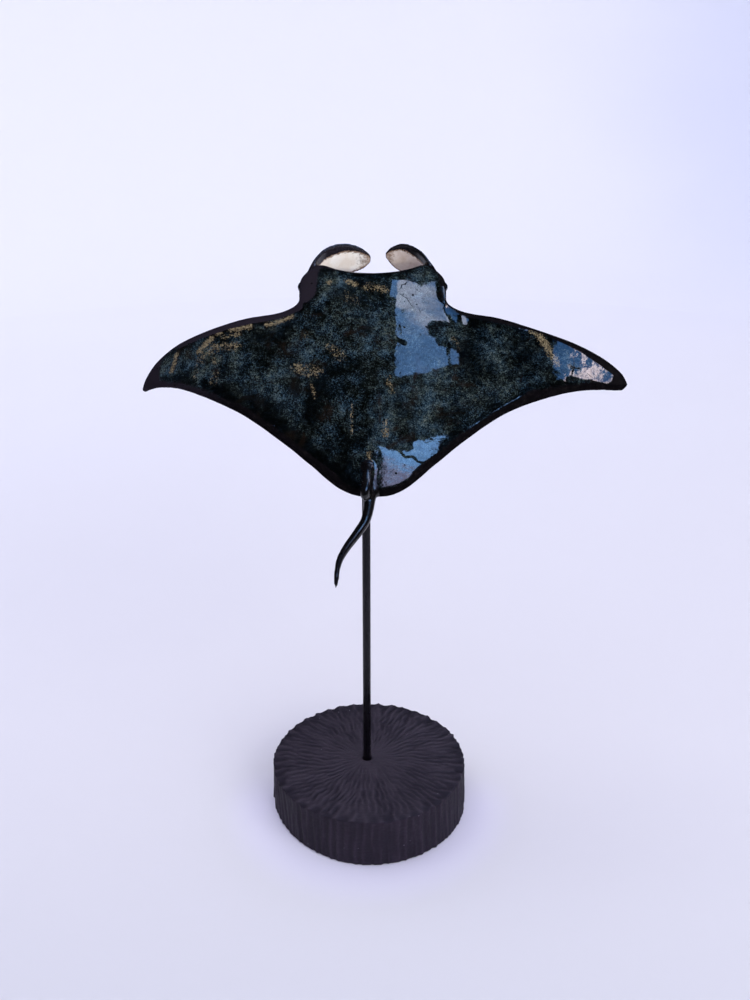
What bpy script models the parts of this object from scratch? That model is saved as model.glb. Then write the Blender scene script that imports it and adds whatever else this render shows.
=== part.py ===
"""A glazed ceramic manta ray on a thin steel rod, which stands in a round carved wooden base.

The figure is modelled in a flat frame of its own: x to the ray's right, y forward, z out of its back. Each
wing is drawn flat, then bent down round a long arc. An empty holds the finished figure nose up above the
base. The world's origin is the middle of the base's underside, where the piece stands.
"""

import math

import bmesh
import bpy
from mathutils import Matrix, Vector

MM = 0.001
GAP = 0.3 * MM  # the room between neighbouring solids

# Base and rod
BASE_RADIUS = 50.4 * MM
BASE_FOOT_RADIUS = 51.3 * MM
BASE_HEIGHT = 27 * MM
BASE_EDGE = 0.8 * MM
FLUTES = 44
FLUTE_DEPTH = 0.6 * MM
# Where the carver took more off the foot: how deep, which way, and over what width
TRIM_DEPTH = 2.2 * MM
TRIM_TURN = math.radians(-142)
TRIM_WIDTH = math.radians(34)
ROD_RADIUS = 2 * MM
ROD_X = -0.9 * MM  # the hole is a little off the middle of the base
ROD_FOOT = 8 * MM  # above the floor, at the bottom of the base's hole
ROD_TOP = 230.5 * MM
ROD_SEGMENTS = 28
SOCKET_LOW = 100 * MM  # in the open, where the cutters for the rod's two holes end

# Where the figure is held
FIGURE_CENTRE = Vector((2.2, 0, 232.1)) * MM
NOSE_UP = math.radians(45)

# The flat outline, in millimetres: how far out and how far forward the front and rear edges are, from the
# midline to the wing's tip. The front edge goes round the side of the head to its corner with the wing, then
# out along the wing.
STATIONS = [
    # front out, front y, rear out, rear y
    (0.0, 56.0, 0.0, -53.8),
    (9.0, 56.6, 7.5, -53.2),
    (17.0, 58.4, 14.5, -50.0),
    (24.0, 60.6, 20.5, -45.2),
    (29.2, 57.8, 25.5, -40.4),
    (33.1, 53.0, 30.0, -36.6),
    (33.7, 47.0, 34.0, -33.0),
    (33.7, 41.6, 37.5, -30.0),
    (37.4, 38.5, 43.0, -25.6),
    (46.0, 36.0, 50.0, -20.2),
    (59.0, 33.8, 60.0, -13.6),
    (76.0, 29.4, 75.0, -6.2),
    (95.0, 24.9, 92.0, 0.6),
    (109.0, 20.0, 105.0, 4.0),
    (117.5, 14.8, 113.0, 5.4),
    (120.8, 9.6, 117.5, 6.4),
]
WING_SPAN = 121 * MM
BEND_START = 50 * MM  # how far out the wing begins to bend down
# What sets the left wing, -1, apart from the right one: the tip's bend, and how far forward of the outline
# above its front and rear edges end
TIP_BEND = {-1: math.radians(56), 1: math.radians(26)}
TIP_SWEEP = {-1: (2.6 * MM, 5.0 * MM), 1: (-1.6 * MM, -2.2 * MM)}

# Half of the thickness at the edges, how far in the rim is rounded, and what the middle adds above and below
HEAD_HALF = 5.4 * MM
EDGE_HALF = 2.1 * MM
TIP_HALF = 1.6 * MM
HEAD_THICK_OUT = 31 * MM  # the head's thickness thins to the wing's between these
WING_THIN_OUT = 44 * MM
TIP_THIN_OUT = 60 * MM  # and from here to the tip's
EDGE_ROUND = 3.2 * MM
BACK_RISE = 7.5 * MM
BELLY_DROP = 6.5 * MM
BODY_HALF_WIDTH = 33 * MM
WING_SWELL = 1.6 * MM
HUMP_FORWARD = 0.8  # under 1 puts the thickest place in front of the middle
HUMP_FLAT = 0.9  # under 1 flattens the top of the hump
STEPS_PER_STATION = 2
RING_POINTS = 32

# Cuts between the named parts of the figure
HEAD_BACK = 42.4 * MM
WING_ROOT = 33.4 * MM

# Mouth, between the two lobes
MOUTH_HALF = Vector((21, 9, 2.6)) * MM
MOUTH_CENTRE = Vector((0, 60.5, -1.6)) * MM

# Cephalic lobes, the curled paddles beside the mouth, left and right, in millimetres: the middle line from
# root to tip, with its half width and how far its upper edge leans forward
LOBE_ROWS = {
    -1: [
        # x, y, z, half width, lean in degrees
        (30.2, 51.0, -0.4, 4.2, 0),
        (29.2, 56.2, -0.5, 5.0, 4),
        (26.4, 61.2, -0.7, 6.2, 12),
        (22.0, 64.8, -1.0, 7.4, 21),
        (16.4, 66.5, -1.3, 8.1, 27),
        (10.5, 67.0, -1.5, 7.5, 30),
        (5.4, 66.9, -1.5, 5.6, 30),
        (1.9, 66.8, -1.5, 2.8, 30),
        (0.9, 66.8, -1.5, 1.0, 30),
    ],
    1: [
        (30.2, 51.0, -0.4, 4.2, 0),
        (28.9, 56.0, -0.5, 5.0, 4),
        (25.7, 60.2, -0.7, 6.2, 12),
        (21.8, 63.8, -1.0, 7.3, 21),
        (17.4, 66.2, -1.3, 7.8, 27),
        (13.0, 67.8, -1.5, 7.2, 30),
        (9.4, 68.6, -1.5, 5.2, 30),
        (7.0, 68.8, -1.5, 2.6, 30),
        (6.0, 68.8, -1.5, 1.0, 30),
    ],
}
LOBE_HALF_THICKNESS = 1.4 * MM
LOBE_RING_POINTS = 18
LOBE_STEPS = 3

# Eyes, on the sides of the head
EYE_RADIUS = 2.9 * MM
EYE_PLACE = Vector((32.0, 50.8, -0.5)) * MM

# Back fin, over the root of the tail, in millimetres: from the front foot over the crest to the rear foot
FIN_PROFILE = [
    # x, y, z
    (-1.9, -35.5, 1.0),
    (-2.0, -41.0, 6.4),
    (-2.3, -47.0, 9.2),
    (-2.8, -52.5, 10.0),
    (-3.3, -56.8, 8.8),
    (-3.4, -57.8, 6.0),
    (-3.1, -54.5, 2.0),
]
FIN_HALF_THICKNESS = 2.0 * MM
FIN_SIDE_SIZE = 0.66  # the blade's flat sides are this much of its middle
FIN_SLICES = 6
FIN_STEPS = 3

# Tail, in millimetres: its middle line and radius, from inside the body to the tip
TAIL_ROWS = [
    # x, y, z, radius
    (-0.4, -47.0, 0.2, 2.9),
    (-1.1, -53.5, 0.4, 2.8),
    (-1.9, -60.0, 0.5, 2.4),
    (-3.2, -65.2, 0.5, 2.15),
    (-6.8, -71.0, 0.2, 2.1),
    (-11.0, -76.8, -0.4, 1.9),
    (-13.9, -82.0, -1.2, 1.6),
    (-15.0, -87.0, -2.0, 1.3),
    (-15.3, -91.0, -2.7, 1.1),
    (-15.6, -93.8, -3.1, 0.5),
]
TAIL_STEPS = 3

# Colour, roughness and metallic value
GLAZE = ("dark_glaze", (0.035, 0.055, 0.06), 0.25, 0.0)
CREAM = ("cream_glaze", (0.75, 0.70, 0.64), 0.3, 0.0)
EYE_GLAZE = ("eye_glaze", (0.01, 0.01, 0.012), 0.12, 0.0)
STEEL = ("blackened_steel", (0.02, 0.02, 0.022), 0.4, 0.8)
WOOD = ("stained_wood", (0.045, 0.035, 0.04), 0.85, 0.0)


def clear_scene():
    for old in list(bpy.data.objects):
        bpy.data.objects.remove(old, do_unlink=True)


def new_collection(name):
    made = bpy.data.collections.new(name)
    bpy.context.scene.collection.children.link(made)
    return made


def material(finish):
    name, colour, roughness, metallic = finish
    made = bpy.data.materials.get(name)
    if made is None:
        made = bpy.data.materials.new(name)
        made.use_nodes = True
        shader = made.node_tree.nodes["Principled BSDF"]
        shader.inputs["Base Color"].default_value = (*colour, 1)
        shader.inputs["Roughness"].default_value = roughness
        shader.inputs["Metallic"].default_value = metallic
    return made


def add_object(name, mesh, collection, finish=None, parent=None):
    """A new object for a mesh. One with no finish is a cutter or a guide, so it is hidden from the render."""
    made = bpy.data.objects.new(name, mesh)
    collection.objects.link(made)
    made.parent = parent
    if finish is None:
        made.hide_render = True
        made.display_type = "WIRE"
    elif not mesh.materials:
        mesh.materials.append(material(finish))
    return made


def boolean(obj, other, operation):
    modifier = obj.modifiers.new(f"{operation.lower()} {other.name}", "BOOLEAN")
    modifier.operation = operation
    modifier.object = other
    modifier.solver = "EXACT"


def mesh_of(name, shape):
    """Turns a bmesh into a smooth-shaded mesh whose faces point out."""
    bmesh.ops.recalc_face_normals(shape, faces=shape.faces)
    mesh = bpy.data.meshes.new(name)
    shape.to_mesh(mesh)
    shape.free()
    mesh.shade_smooth()
    mesh.set_sharp_from_angle(angle=math.radians(50))
    return mesh


def loft(name, rings):
    """A closed skin through rings of points, with a flat cap on each end."""
    shape = bmesh.new()
    rows = [[shape.verts.new(point) for point in ring] for ring in rings]
    for row, following in zip(rows, rows[1:]):
        count = len(row)
        for i in range(count):
            j = (i + 1) % count
            shape.faces.new((row[i], row[j], following[j], following[i]))
    shape.faces.new(rows[0])
    shape.faces.new(reversed(rows[-1]))
    return mesh_of(name, shape)


def box_mesh(name, low, high):
    shape = bmesh.new()
    size = Vector(high) - Vector(low)
    middle = (Vector(high) + Vector(low)) / 2
    matrix = Matrix.Translation(middle) @ Matrix.Diagonal((*size, 1))
    bmesh.ops.create_cube(shape, size=1, matrix=matrix)
    return mesh_of(name, shape)


def cylinder_mesh(name, radius, low, high, segments, foot_radius=None, x=0):
    """An upright cylinder, or a cone with foot_radius at its lower end, whose axis is at x."""
    shape = bmesh.new()
    bmesh.ops.create_cone(
        shape,
        cap_ends=True,
        segments=segments,
        radius1=foot_radius or radius,
        radius2=radius,
        depth=high - low,
        matrix=Matrix.Translation((x, 0, (high + low) / 2)),
    )
    return mesh_of(name, shape)


def rod_hole_mesh(name, low, high):
    return cylinder_mesh(name, ROD_RADIUS + GAP, low, high, ROD_SEGMENTS, x=ROD_X)


def ellipsoid_mesh(name, centre, half_sizes, segments, rings):
    shape = bmesh.new()
    matrix = Matrix.Translation(centre) @ Matrix.Diagonal((*half_sizes, 1))
    bmesh.ops.create_uvsphere(shape, u_segments=segments, v_segments=rings, radius=1, matrix=matrix)
    return mesh_of(name, shape)


def along(rows, place):
    """The row at a place on a smooth curve through all the rows: 0 is the first row, 1 the second."""
    last = len(rows) - 1
    i = min(int(place), last - 1)
    t = place - i
    first, second = rows[i], rows[i + 1]
    before = rows[i - 1] if i > 0 else [2 * a - b for a, b in zip(first, second)]
    after = rows[i + 2] if i + 2 <= last else [2 * b - a for a, b in zip(first, second)]
    return [
        0.5 * (2 * b + (c - a) * t + (2 * a - 5 * b + 4 * c - d) * t**2 + (3 * b - a - 3 * c + d) * t**3)
        for a, b, c, d in zip(before, first, second, after)
    ]


def smoothstep(low, high, value):
    t = min(max((value - low) / (high - low), 0), 1)
    return t * t * (3 - 2 * t)


def edge_fullness(distance):
    """How full the rounded rim is at a distance in from the outline, from 0 to 1."""
    t = min(max(distance / EDGE_ROUND, 0), 1)
    return math.sqrt(1 - (1 - t) ** 2)


def bent(side, out, y, z):
    """A point of a flat wing, moved to where the bend down takes it."""
    if out <= BEND_START:
        return Vector((side * out, y, z))
    radius = (WING_SPAN - BEND_START) / TIP_BEND[side]
    angle = (out - BEND_START) / radius
    x = BEND_START + (radius + z) * math.sin(angle)
    drop = radius - (radius + z) * math.cos(angle)
    return Vector((side * x, y, -drop))


def section(side, place):
    """The ring round the body at a place along the outline, from the midline, 0, to the wing's tip."""
    front_out, front_y, rear_out, rear_y = (value * MM for value in along(STATIONS, place))
    front_sweep, rear_sweep = TIP_SWEEP[side]
    front_y += front_sweep * smoothstep(BEND_START, WING_SPAN, front_out)
    rear_y += rear_sweep * smoothstep(BEND_START, WING_SPAN, rear_out)
    chord = math.hypot(front_out - rear_out, front_y - rear_y)
    front_half = EDGE_HALF + (HEAD_HALF - EDGE_HALF) * smoothstep(WING_THIN_OUT, HEAD_THICK_OUT, front_out)
    ring = []
    for i in range(RING_POINTS):
        turn = 2 * math.pi * i / RING_POINTS
        share = (1 - math.cos(turn)) / 2
        out = front_out + (rear_out - front_out) * share
        y = front_y + (rear_y - front_y) * share
        rim = edge_fullness(chord * share) * edge_fullness(chord * (1 - share))
        half = front_half + (EDGE_HALF - front_half) * smoothstep(0, 0.5, share)
        half += (TIP_HALF - EDGE_HALF) * smoothstep(TIP_THIN_OUT, WING_SPAN, out)
        bell = math.exp(-((out / BODY_HALF_WIDTH) ** 2))
        hump = math.sin(math.pi * share**HUMP_FORWARD) ** HUMP_FLAT if 0 < share < 1 else 0
        swell = WING_SWELL * hump * (1 - smoothstep(0, WING_SPAN, out))
        if i <= RING_POINTS // 2:
            z = rim * half + hump * bell * BACK_RISE + swell
        else:
            z = -rim * half - hump * bell * BELLY_DROP - swell
        ring.append(bent(side, max(out, 0), y, z))
    return ring


def body_mesh():
    """The whole body, wing tip to wing tip."""
    steps = (len(STATIONS) - 1) * STEPS_PER_STATION
    left = [section(-1, i / STEPS_PER_STATION) for i in range(steps, 0, -1)]
    right = [section(1, i / STEPS_PER_STATION) for i in range(steps + 1)]
    return loft("body", left + right)


def gap_cutter(name, mesh, helpers, pose):
    """A copy of a shape that is thicker by the gap all round, to cut its neighbours with."""
    cutter = add_object(f"{name}_with_gap", mesh.copy(), helpers, parent=pose)
    displace = cutter.modifiers.new("gap", "DISPLACE")
    displace.strength = GAP
    displace.mid_level = 0
    return cutter


def make_body(parts, helpers, pose):
    """Head, trunk and wings, parted by thin cuts. Returns the cutter for what grows from the body."""
    mesh = body_mesh()
    far = 200 * MM
    half_gap = GAP / 2
    zones = {
        "head": ((-far, HEAD_BACK + half_gap, -far), (far, far, far)),
        "trunk": ((-WING_ROOT + half_gap, -far, -far), (WING_ROOT - half_gap, HEAD_BACK - half_gap, far)),
        "wing_left": ((-far, -far, -far), (-WING_ROOT - half_gap, HEAD_BACK - half_gap, far)),
        "wing_right": ((WING_ROOT + half_gap, -far, -far), (far, HEAD_BACK - half_gap, far)),
    }
    made = {}
    for name, (low, high) in zones.items():
        made[name] = add_object(name, mesh.copy(), parts, GLAZE, pose)
        zone = add_object(f"{name}_zone", box_mesh(f"{name}_zone", low, high), helpers, parent=pose)
        boolean(made[name], zone, "INTERSECT")
    mouth = ellipsoid_mesh("mouth", MOUTH_CENTRE, MOUTH_HALF, 32, 14)
    boolean(made["head"], add_object("mouth_cutter", mouth, helpers, parent=pose), "DIFFERENCE")
    socket = rod_hole_mesh("socket", SOCKET_LOW, ROD_TOP + GAP)
    boolean(made["trunk"], add_object("socket_cutter", socket, helpers), "DIFFERENCE")
    return gap_cutter("body", mesh, helpers, pose)


def lobe_rings(side):
    """Flat oval sections that follow a lobe's middle line and lean forward towards the tip."""
    rows = LOBE_ROWS[side]
    last = len(rows) - 1
    rings = []
    for i in range(last * LOBE_STEPS + 1):
        place = i / LOBE_STEPS
        x, y, z, half_width, lean = along(rows, place)
        ahead = Vector(along(rows, min(place + 0.05, last))[:3])
        behind = Vector(along(rows, max(place - 0.05, 0))[:3])
        forward = (ahead - behind).normalized()
        upright = Vector((0, math.sin(math.radians(lean)), math.cos(math.radians(lean))))
        across = forward.cross(upright).normalized()
        upright = across.cross(forward).normalized()
        ring = []
        for k in range(LOBE_RING_POINTS):
            turn = 2 * math.pi * k / LOBE_RING_POINTS
            high = upright * (math.cos(turn) * half_width * MM)
            thick = across * (math.sin(turn) * LOBE_HALF_THICKNESS)
            point = Vector((x, y, z)) * MM + high + thick
            ring.append(Vector((side * point.x, point.y, point.z)))
        rings.append(ring)
    return rings


def make_lobes(parts, pose, body_cutter):
    for name, side in (("lobe_left", -1), ("lobe_right", 1)):
        lobe = add_object(name, loft(name, lobe_rings(side)), parts, CREAM, pose)
        boolean(lobe, body_cutter, "DIFFERENCE")


def make_eyes(parts, pose, body_cutter):
    for name, side in (("eye_left", -1), ("eye_right", 1)):
        place = Vector((side * EYE_PLACE.x, EYE_PLACE.y, EYE_PLACE.z))
        mesh = ellipsoid_mesh(name, place, Vector((1, 1, 1)) * EYE_RADIUS, 20, 12)
        eye = add_object(name, mesh, parts, EYE_GLAZE, pose)
        boolean(eye, body_cutter, "DIFFERENCE")


def make_tail(parts, helpers, pose, body_cutter):
    """The tail, a tapering curve. Returns the cutter that keeps the fin clear of it."""
    curve = bpy.data.curves.new("tail", "CURVE")
    curve.dimensions = "3D"
    curve.bevel_depth = 1 * MM
    curve.bevel_resolution = 3
    curve.use_fill_caps = True
    spline = curve.splines.new("POLY")
    spline.points.add((len(TAIL_ROWS) - 1) * TAIL_STEPS)
    for i, point in enumerate(spline.points):
        x, y, z, radius = along(TAIL_ROWS, i / TAIL_STEPS)
        point.co = (x * MM, y * MM, z * MM, 1)
        point.radius = radius
    guide = add_object("tail_curve", curve, helpers, parent=pose)
    bpy.context.view_layer.update()
    evaluated = guide.evaluated_get(bpy.context.evaluated_depsgraph_get())
    shape = bmesh.new()
    shape.from_mesh(bpy.data.meshes.new_from_object(evaluated))
    bmesh.ops.remove_doubles(shape, verts=shape.verts, dist=0.01 * MM)
    mesh = mesh_of("tail", shape)
    bpy.data.objects.remove(guide, do_unlink=True)
    tail = add_object("tail", mesh, parts, GLAZE, pose)
    cutter = gap_cutter("tail", mesh, helpers, pose)
    boolean(tail, body_cutter, "DIFFERENCE")
    return cutter


def make_fin(parts, pose, body_cutter, tail_cutter):
    """The small back fin: a rounded blade that stands over the root of the tail."""
    count = (len(FIN_PROFILE) - 1) * FIN_STEPS
    outline = [Vector(along(FIN_PROFILE, i / FIN_STEPS)) * MM for i in range(count + 1)]
    centre = sum(outline, Vector()) / len(outline)
    rings = []
    for i in range(FIN_SLICES + 1):
        turn = math.pi * i / FIN_SLICES
        offset = Vector((-math.cos(turn) * FIN_HALF_THICKNESS, 0, 0))
        size = FIN_SIDE_SIZE + (1 - FIN_SIDE_SIZE) * math.sin(turn)
        rings.append([centre + (point - centre) * size + offset for point in outline])
    fin = add_object("dorsal_fin", loft("dorsal_fin", rings), parts, GLAZE, pose)
    boolean(fin, body_cutter, "DIFFERENCE")
    boolean(fin, tail_cutter, "DIFFERENCE")


def make_rod(parts):
    rod = cylinder_mesh("stand_rod", ROD_RADIUS, ROD_FOOT, ROD_TOP, ROD_SEGMENTS, x=ROD_X)
    add_object("stand_rod", rod, parts, STEEL)


def make_base(parts, helpers):
    """The turned block, with hollow flutes round its side and a hole for the rod."""
    mesh = cylinder_mesh("stand_base", BASE_RADIUS, 0, BASE_HEIGHT, FLUTES * 2, BASE_FOOT_RADIUS)
    for vertex in mesh.vertices:
        turn = math.atan2(vertex.co.y, vertex.co.x)
        hollow = FLUTE_DEPTH * (0.5 - 0.5 * math.cos(FLUTES * turn))
        if vertex.co.z < BASE_HEIGHT / 2:
            hollow += TRIM_DEPTH * math.exp(-(((turn - TRIM_TURN) / TRIM_WIDTH) ** 2))
        radius = vertex.co.xy.length
        vertex.co.xy *= (radius - hollow) / radius
    base = add_object("stand_base", mesh, parts, WOOD)
    bevel = base.modifiers.new("edge", "BEVEL")
    bevel.width = BASE_EDGE
    bevel.segments = 2
    bevel.limit_method = "ANGLE"
    bevel.angle_limit = math.radians(60)
    hole = rod_hole_mesh("rod_hole", ROD_FOOT - GAP, SOCKET_LOW)
    boolean(base, add_object("rod_hole_cutter", hole, helpers), "DIFFERENCE")


def main():
    clear_scene()
    parts = new_collection("manta_ray_figure")
    helpers = new_collection("cutters")
    pose = bpy.data.objects.new("figure_pose", None)
    parts.objects.link(pose)
    pose.location = FIGURE_CENTRE
    pose.rotation_euler = (NOSE_UP, 0, 0)
    make_base(parts, helpers)
    make_rod(parts)
    body_cutter = make_body(parts, helpers, pose)
    make_lobes(parts, pose, body_cutter)
    make_eyes(parts, pose, body_cutter)
    tail_cutter = make_tail(parts, helpers, pose, body_cutter)
    make_fin(parts, pose, body_cutter, tail_cutter)


main()
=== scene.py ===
"""Looks of a glazed ceramic manta ray on a thin steel rod, in a round hand-carved wooden base.

The figure is worked out in millimetres in a flat frame of its own: x to the ray's right, y forward, z out of
its back. Each wing is drawn flat and then bent down. The pose holds the finished figure nose up over the
base. Everything that Blender gets is in metres, in the frame of the loaded nodes.
"""

import logging
import math
from dataclasses import dataclass, field
from enum import Enum
from typing import Callable, Optional, Sequence, Union

import bpy
import numpy as np
from mathutils import Matrix, Vector
from mathutils.kdtree import KDTree


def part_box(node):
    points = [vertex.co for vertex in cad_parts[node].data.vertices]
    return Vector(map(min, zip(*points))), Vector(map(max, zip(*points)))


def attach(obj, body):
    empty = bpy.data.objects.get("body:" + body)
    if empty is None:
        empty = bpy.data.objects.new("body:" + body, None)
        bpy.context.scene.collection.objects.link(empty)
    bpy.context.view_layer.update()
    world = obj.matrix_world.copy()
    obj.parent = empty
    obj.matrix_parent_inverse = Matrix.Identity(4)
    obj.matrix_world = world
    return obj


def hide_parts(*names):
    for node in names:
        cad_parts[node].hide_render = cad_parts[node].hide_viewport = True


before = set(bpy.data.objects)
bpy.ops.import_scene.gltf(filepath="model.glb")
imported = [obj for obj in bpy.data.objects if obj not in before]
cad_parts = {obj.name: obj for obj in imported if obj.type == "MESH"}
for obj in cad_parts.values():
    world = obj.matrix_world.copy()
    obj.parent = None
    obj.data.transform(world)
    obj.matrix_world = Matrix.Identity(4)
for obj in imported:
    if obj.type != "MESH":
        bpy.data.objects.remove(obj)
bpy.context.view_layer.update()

MM = 0.001
METRES, MILLIMETRES = (1, 1, 1), (1 / MM,) * 3  # how many units a pattern has to a metre, along each axis
WELD_GAP = 1e-6
LOG = logging.getLogger("manta_ray")

Piece = bpy.types.Object
Material = bpy.types.Material
Value = Union["Wire", float, Sequence[float]]
Colour = tuple[float, float, float]
Place = tuple[float, float, float]


class Side(Enum):
    """The ray's two sides, by the sign of their x."""

    LEFT = -1
    RIGHT = 1

    @property
    def row(self) -> int:
        """The side's place in a pair: 0 for the left and 1 for the right."""
        return (self.value + 1) // 2

    def shift(self, place: Place) -> Matrix:
        """A shift to a place on this side, given as it is on the right one."""
        return Matrix.Translation((self.value * place[0], *place[1:]))


class Axis(Enum):
    """A direction that a pattern can read."""

    X = 0
    Y = 1
    Z = 2


class Paint(Enum):
    """The painted maps that the pieces carry as attributes."""

    RIM = "rim"  # millimetres in from the outline, 0 on the lobes, fin and tail
    BELLY = "belly"  # 1 on the underside
    CREAM = "cream"  # 1 on the lobes' inner faces
    GOLD = "gold"  # 1 where a brush left gold-brown glaze
    POOL = "pool"  # 1 where the dark glaze pooled on the back, and in the gill slits, where it is painted shade
    DRY = "dry"  # 1 where the glaze is thin and does not shine
    THIN = "thin"  # 1 on the right lobe's cream, where it is darkened as painted shade
    CRAZE = "craze"  # 1 where the glaze has crawled and cracked
    CUT = "cut"  # how deep the wood is cut, in millimetres


# ---------------------------------------------------------------- curves and numbers


def smoothstep(
    low: float, high: float, value: Union[float, np.ndarray]
) -> Union[float, np.ndarray]:
    """Eases from 0 to 1 between two limits.

    Args:
        low: Where the result leaves 0.
        high: Where the result reaches 1.
        value: One number or an array of them.

    Returns:
        The eased value, in the shape of the input.
    """
    t = np.clip((value - low) / (high - low), 0, 1)
    return t * t * (3 - 2 * t)


def along(rows: Sequence[Sequence[float]], place: float) -> np.ndarray:
    """Reads a smooth curve through rows of numbers.

    Args:
        rows: The rows that the curve passes through.
        place: Where to read it: 0 is the first row, 1 the second.

    Returns:
        The row at that place.
    """
    points = np.asarray(rows, float)
    last = len(points) - 1
    i = min(int(place), last - 1)
    t = place - i
    first, second = points[i], points[i + 1]
    before = points[i - 1] if i > 0 else 2 * first - second
    after = points[i + 2] if i + 2 <= last else 2 * second - first
    bend = 2 * before - 5 * first + 4 * second - after
    twist = 3 * first - before - 3 * second + after
    return 0.5 * (2 * first + (second - before) * t + bend * t**2 + twist * t**3)


def places(rows: Sequence[Sequence[float]], steps: int) -> list[float]:
    """Even places along a curve's rows, with some steps from each row to the next."""
    return [i / steps for i in range((len(rows) - 1) * steps + 1)]


def square_to(
    rows: Sequence[Sequence[float]], place: float, lean: float = 0
) -> tuple[np.ndarray, np.ndarray]:
    """Finds two directions square to a curve.

    Args:
        rows: The rows of the curve, whose first three numbers are x, y and z.
        place: Where on it.
        lean: How far forward of upright the first direction starts, in degrees.

    Returns:
        The upright direction and the one across.
    """
    step, last = 0.05, len(rows) - 1
    way = along(rows, min(place + step, last)) - along(rows, max(place - step, 0))
    forward = way[:3] / np.linalg.norm(way[:3])
    across = np.cross(forward, [0, math.sin(math.radians(lean)), math.cos(math.radians(lean))])
    across /= np.linalg.norm(across)
    return np.cross(across, forward), across


def full_turn(count: int) -> np.ndarray:
    """Even angles all the way round."""
    return np.arange(count) * 2 * np.pi / count


def nearest(sources: np.ndarray, points: np.ndarray) -> tuple[np.ndarray, np.ndarray]:
    """Finds the source nearest to each point.

    Args:
        sources: Rows of x, y, z to look through.
        points: Rows of x, y, z to look from.

    Returns:
        Each point's nearest source, by its number, and how far away it is.
    """
    tree = KDTree(len(sources))
    for i, source in enumerate(sources):
        tree.insert(source, i)
    tree.balance()
    found = [tree.find(point) for point in points]
    return np.array([near[1] for near in found]), np.array([near[2] for near in found])


# ---------------------------------------------------------------- modelling moves


class Bench:
    """The few modelling moves that the pieces share."""

    @staticmethod
    def name(label: str) -> Piece:
        """Names the active object and its mesh, and returns it."""
        bpy.context.object.name = bpy.context.object.data.name = label
        return bpy.context.object

    @staticmethod
    def add(primitive: Callable[..., set[str]], label: str, **settings: object) -> Piece:
        """Adds a primitive with nothing else selected, because the loaded nodes come in selected.

        Args:
            primitive: The operator that adds it.
            label: The piece's name.
            settings: The primitive's own settings.

        Returns:
            The new piece.
        """
        bpy.ops.object.select_all(action="DESELECT")
        primitive(**settings)
        return Bench.name(label)

    @staticmethod
    def weld() -> None:
        """Merges the doubles of the mesh that is being edited, and leaves it all selected."""
        bpy.ops.mesh.select_all(action="SELECT")
        bpy.ops.mesh.remove_doubles(threshold=WELD_GAP)

    @staticmethod
    def drape(label: str, rings: np.ndarray) -> Piece:
        """Drapes a grid over rings of points, with its two sides together.

        Args:
            label: The piece's name.
            rings: Points in metres, as rings by points round each ring by x, y, z.

        Returns:
            The open mesh, with a double seam.
        """
        count, around = rings.shape[:2]
        grid = bpy.ops.mesh.primitive_grid_add
        piece = Bench.add(grid, label, x_subdivisions=around, y_subdivisions=count - 1, size=1)
        Bench.move(piece, np.concatenate([rings, rings[:, :1]], axis=1))
        return piece

    @staticmethod
    def loft(label: str, rings: np.ndarray) -> Piece:
        """Drapes a grid over rings, welds its seam and closes its ends.

        Args:
            label: The piece's name.
            rings: Points in metres, as rings by points round each ring by x, y, z.

        Returns:
            The closed mesh, faces outwards.
        """
        piece = Bench.drape(label, rings)
        bpy.ops.object.mode_set(mode="EDIT")
        Bench.weld()
        bpy.ops.mesh.fill_holes(sides=0)
        bpy.ops.mesh.select_all(action="SELECT")
        bpy.ops.mesh.normals_make_consistent(inside=False)
        bpy.ops.object.mode_set(mode="OBJECT")
        return piece

    @staticmethod
    def pick(*pieces: Piece) -> None:
        """Selects these pieces only, with the first of them active.

        Args:
            pieces: The pieces to select.
        """
        bpy.ops.object.select_all(action="DESELECT")
        for piece in pieces:
            piece.select_set(True)
        bpy.context.view_layer.objects.active = pieces[0]

    @staticmethod
    def modify(piece: Piece, kind: str, **settings: object) -> None:
        """Adds a modifier to a piece, sets it and applies it.

        Args:
            piece: The piece to change.
            kind: The modifier's type.
            settings: The modifier's own settings.
        """
        Bench.pick(piece)
        bpy.ops.object.modifier_add(type=kind)
        modifier = piece.modifiers[-1]
        for label, value in settings.items():
            setattr(modifier, label, value)
        bpy.ops.object.modifier_apply(modifier=modifier.name)

    @staticmethod
    def join(pieces: Sequence[Piece], label: str) -> Piece:
        """Joins pieces into the first of them, under a new name.

        Args:
            pieces: The pieces to join.
            label: The new name.

        Returns:
            The joined piece.
        """
        Bench.pick(*pieces)
        bpy.ops.object.join()
        return Bench.name(label)

    @staticmethod
    def read(piece: Piece, what: str) -> np.ndarray:
        """Reads each vertex's place, in metres, or its normal.

        Args:
            piece: The piece to read.
            what: Which of them: co or normal.

        Returns:
            Rows of x, y, z.
        """
        flat = np.zeros(len(piece.data.vertices) * 3, np.float32)
        piece.data.vertices.foreach_get(what, flat)
        return flat.reshape(-1, 3).astype(float)

    @staticmethod
    def move(piece: Piece, points: np.ndarray) -> None:
        """Moves a mesh's vertices to new places, in metres."""
        piece.data.vertices.foreach_set("co", points.astype(np.float32).ravel())
        piece.data.update()

    @staticmethod
    def paint(piece: Piece, paint: Paint, values: np.ndarray) -> None:
        """Writes one number for each vertex as a map that a finish can read."""
        layer = piece.data.attributes.new(paint.value, "FLOAT", "POINT")
        layer.data.foreach_set("value", values.astype(np.float32))

    @staticmethod
    def dress(piece: Piece, finish: "Finish", slot: str, *nodes: str) -> None:
        """Gives a piece its finish and its body, and hides the nodes that it stands for.

        Args:
            piece: The finished piece.
            finish: What it is finished in.
            slot: The material slot, which is only logged.
            nodes: The loaded nodes that it replaces.
        """
        piece.data.materials.clear()
        piece.data.materials.append(finish.material())
        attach(piece, "root")
        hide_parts(*nodes)
        LOG.info("%s: %d faces, in %s, for %s", piece.name, len(piece.data.polygons), slot, ", ".join(nodes))


# ---------------------------------------------------------------- finishes


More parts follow.
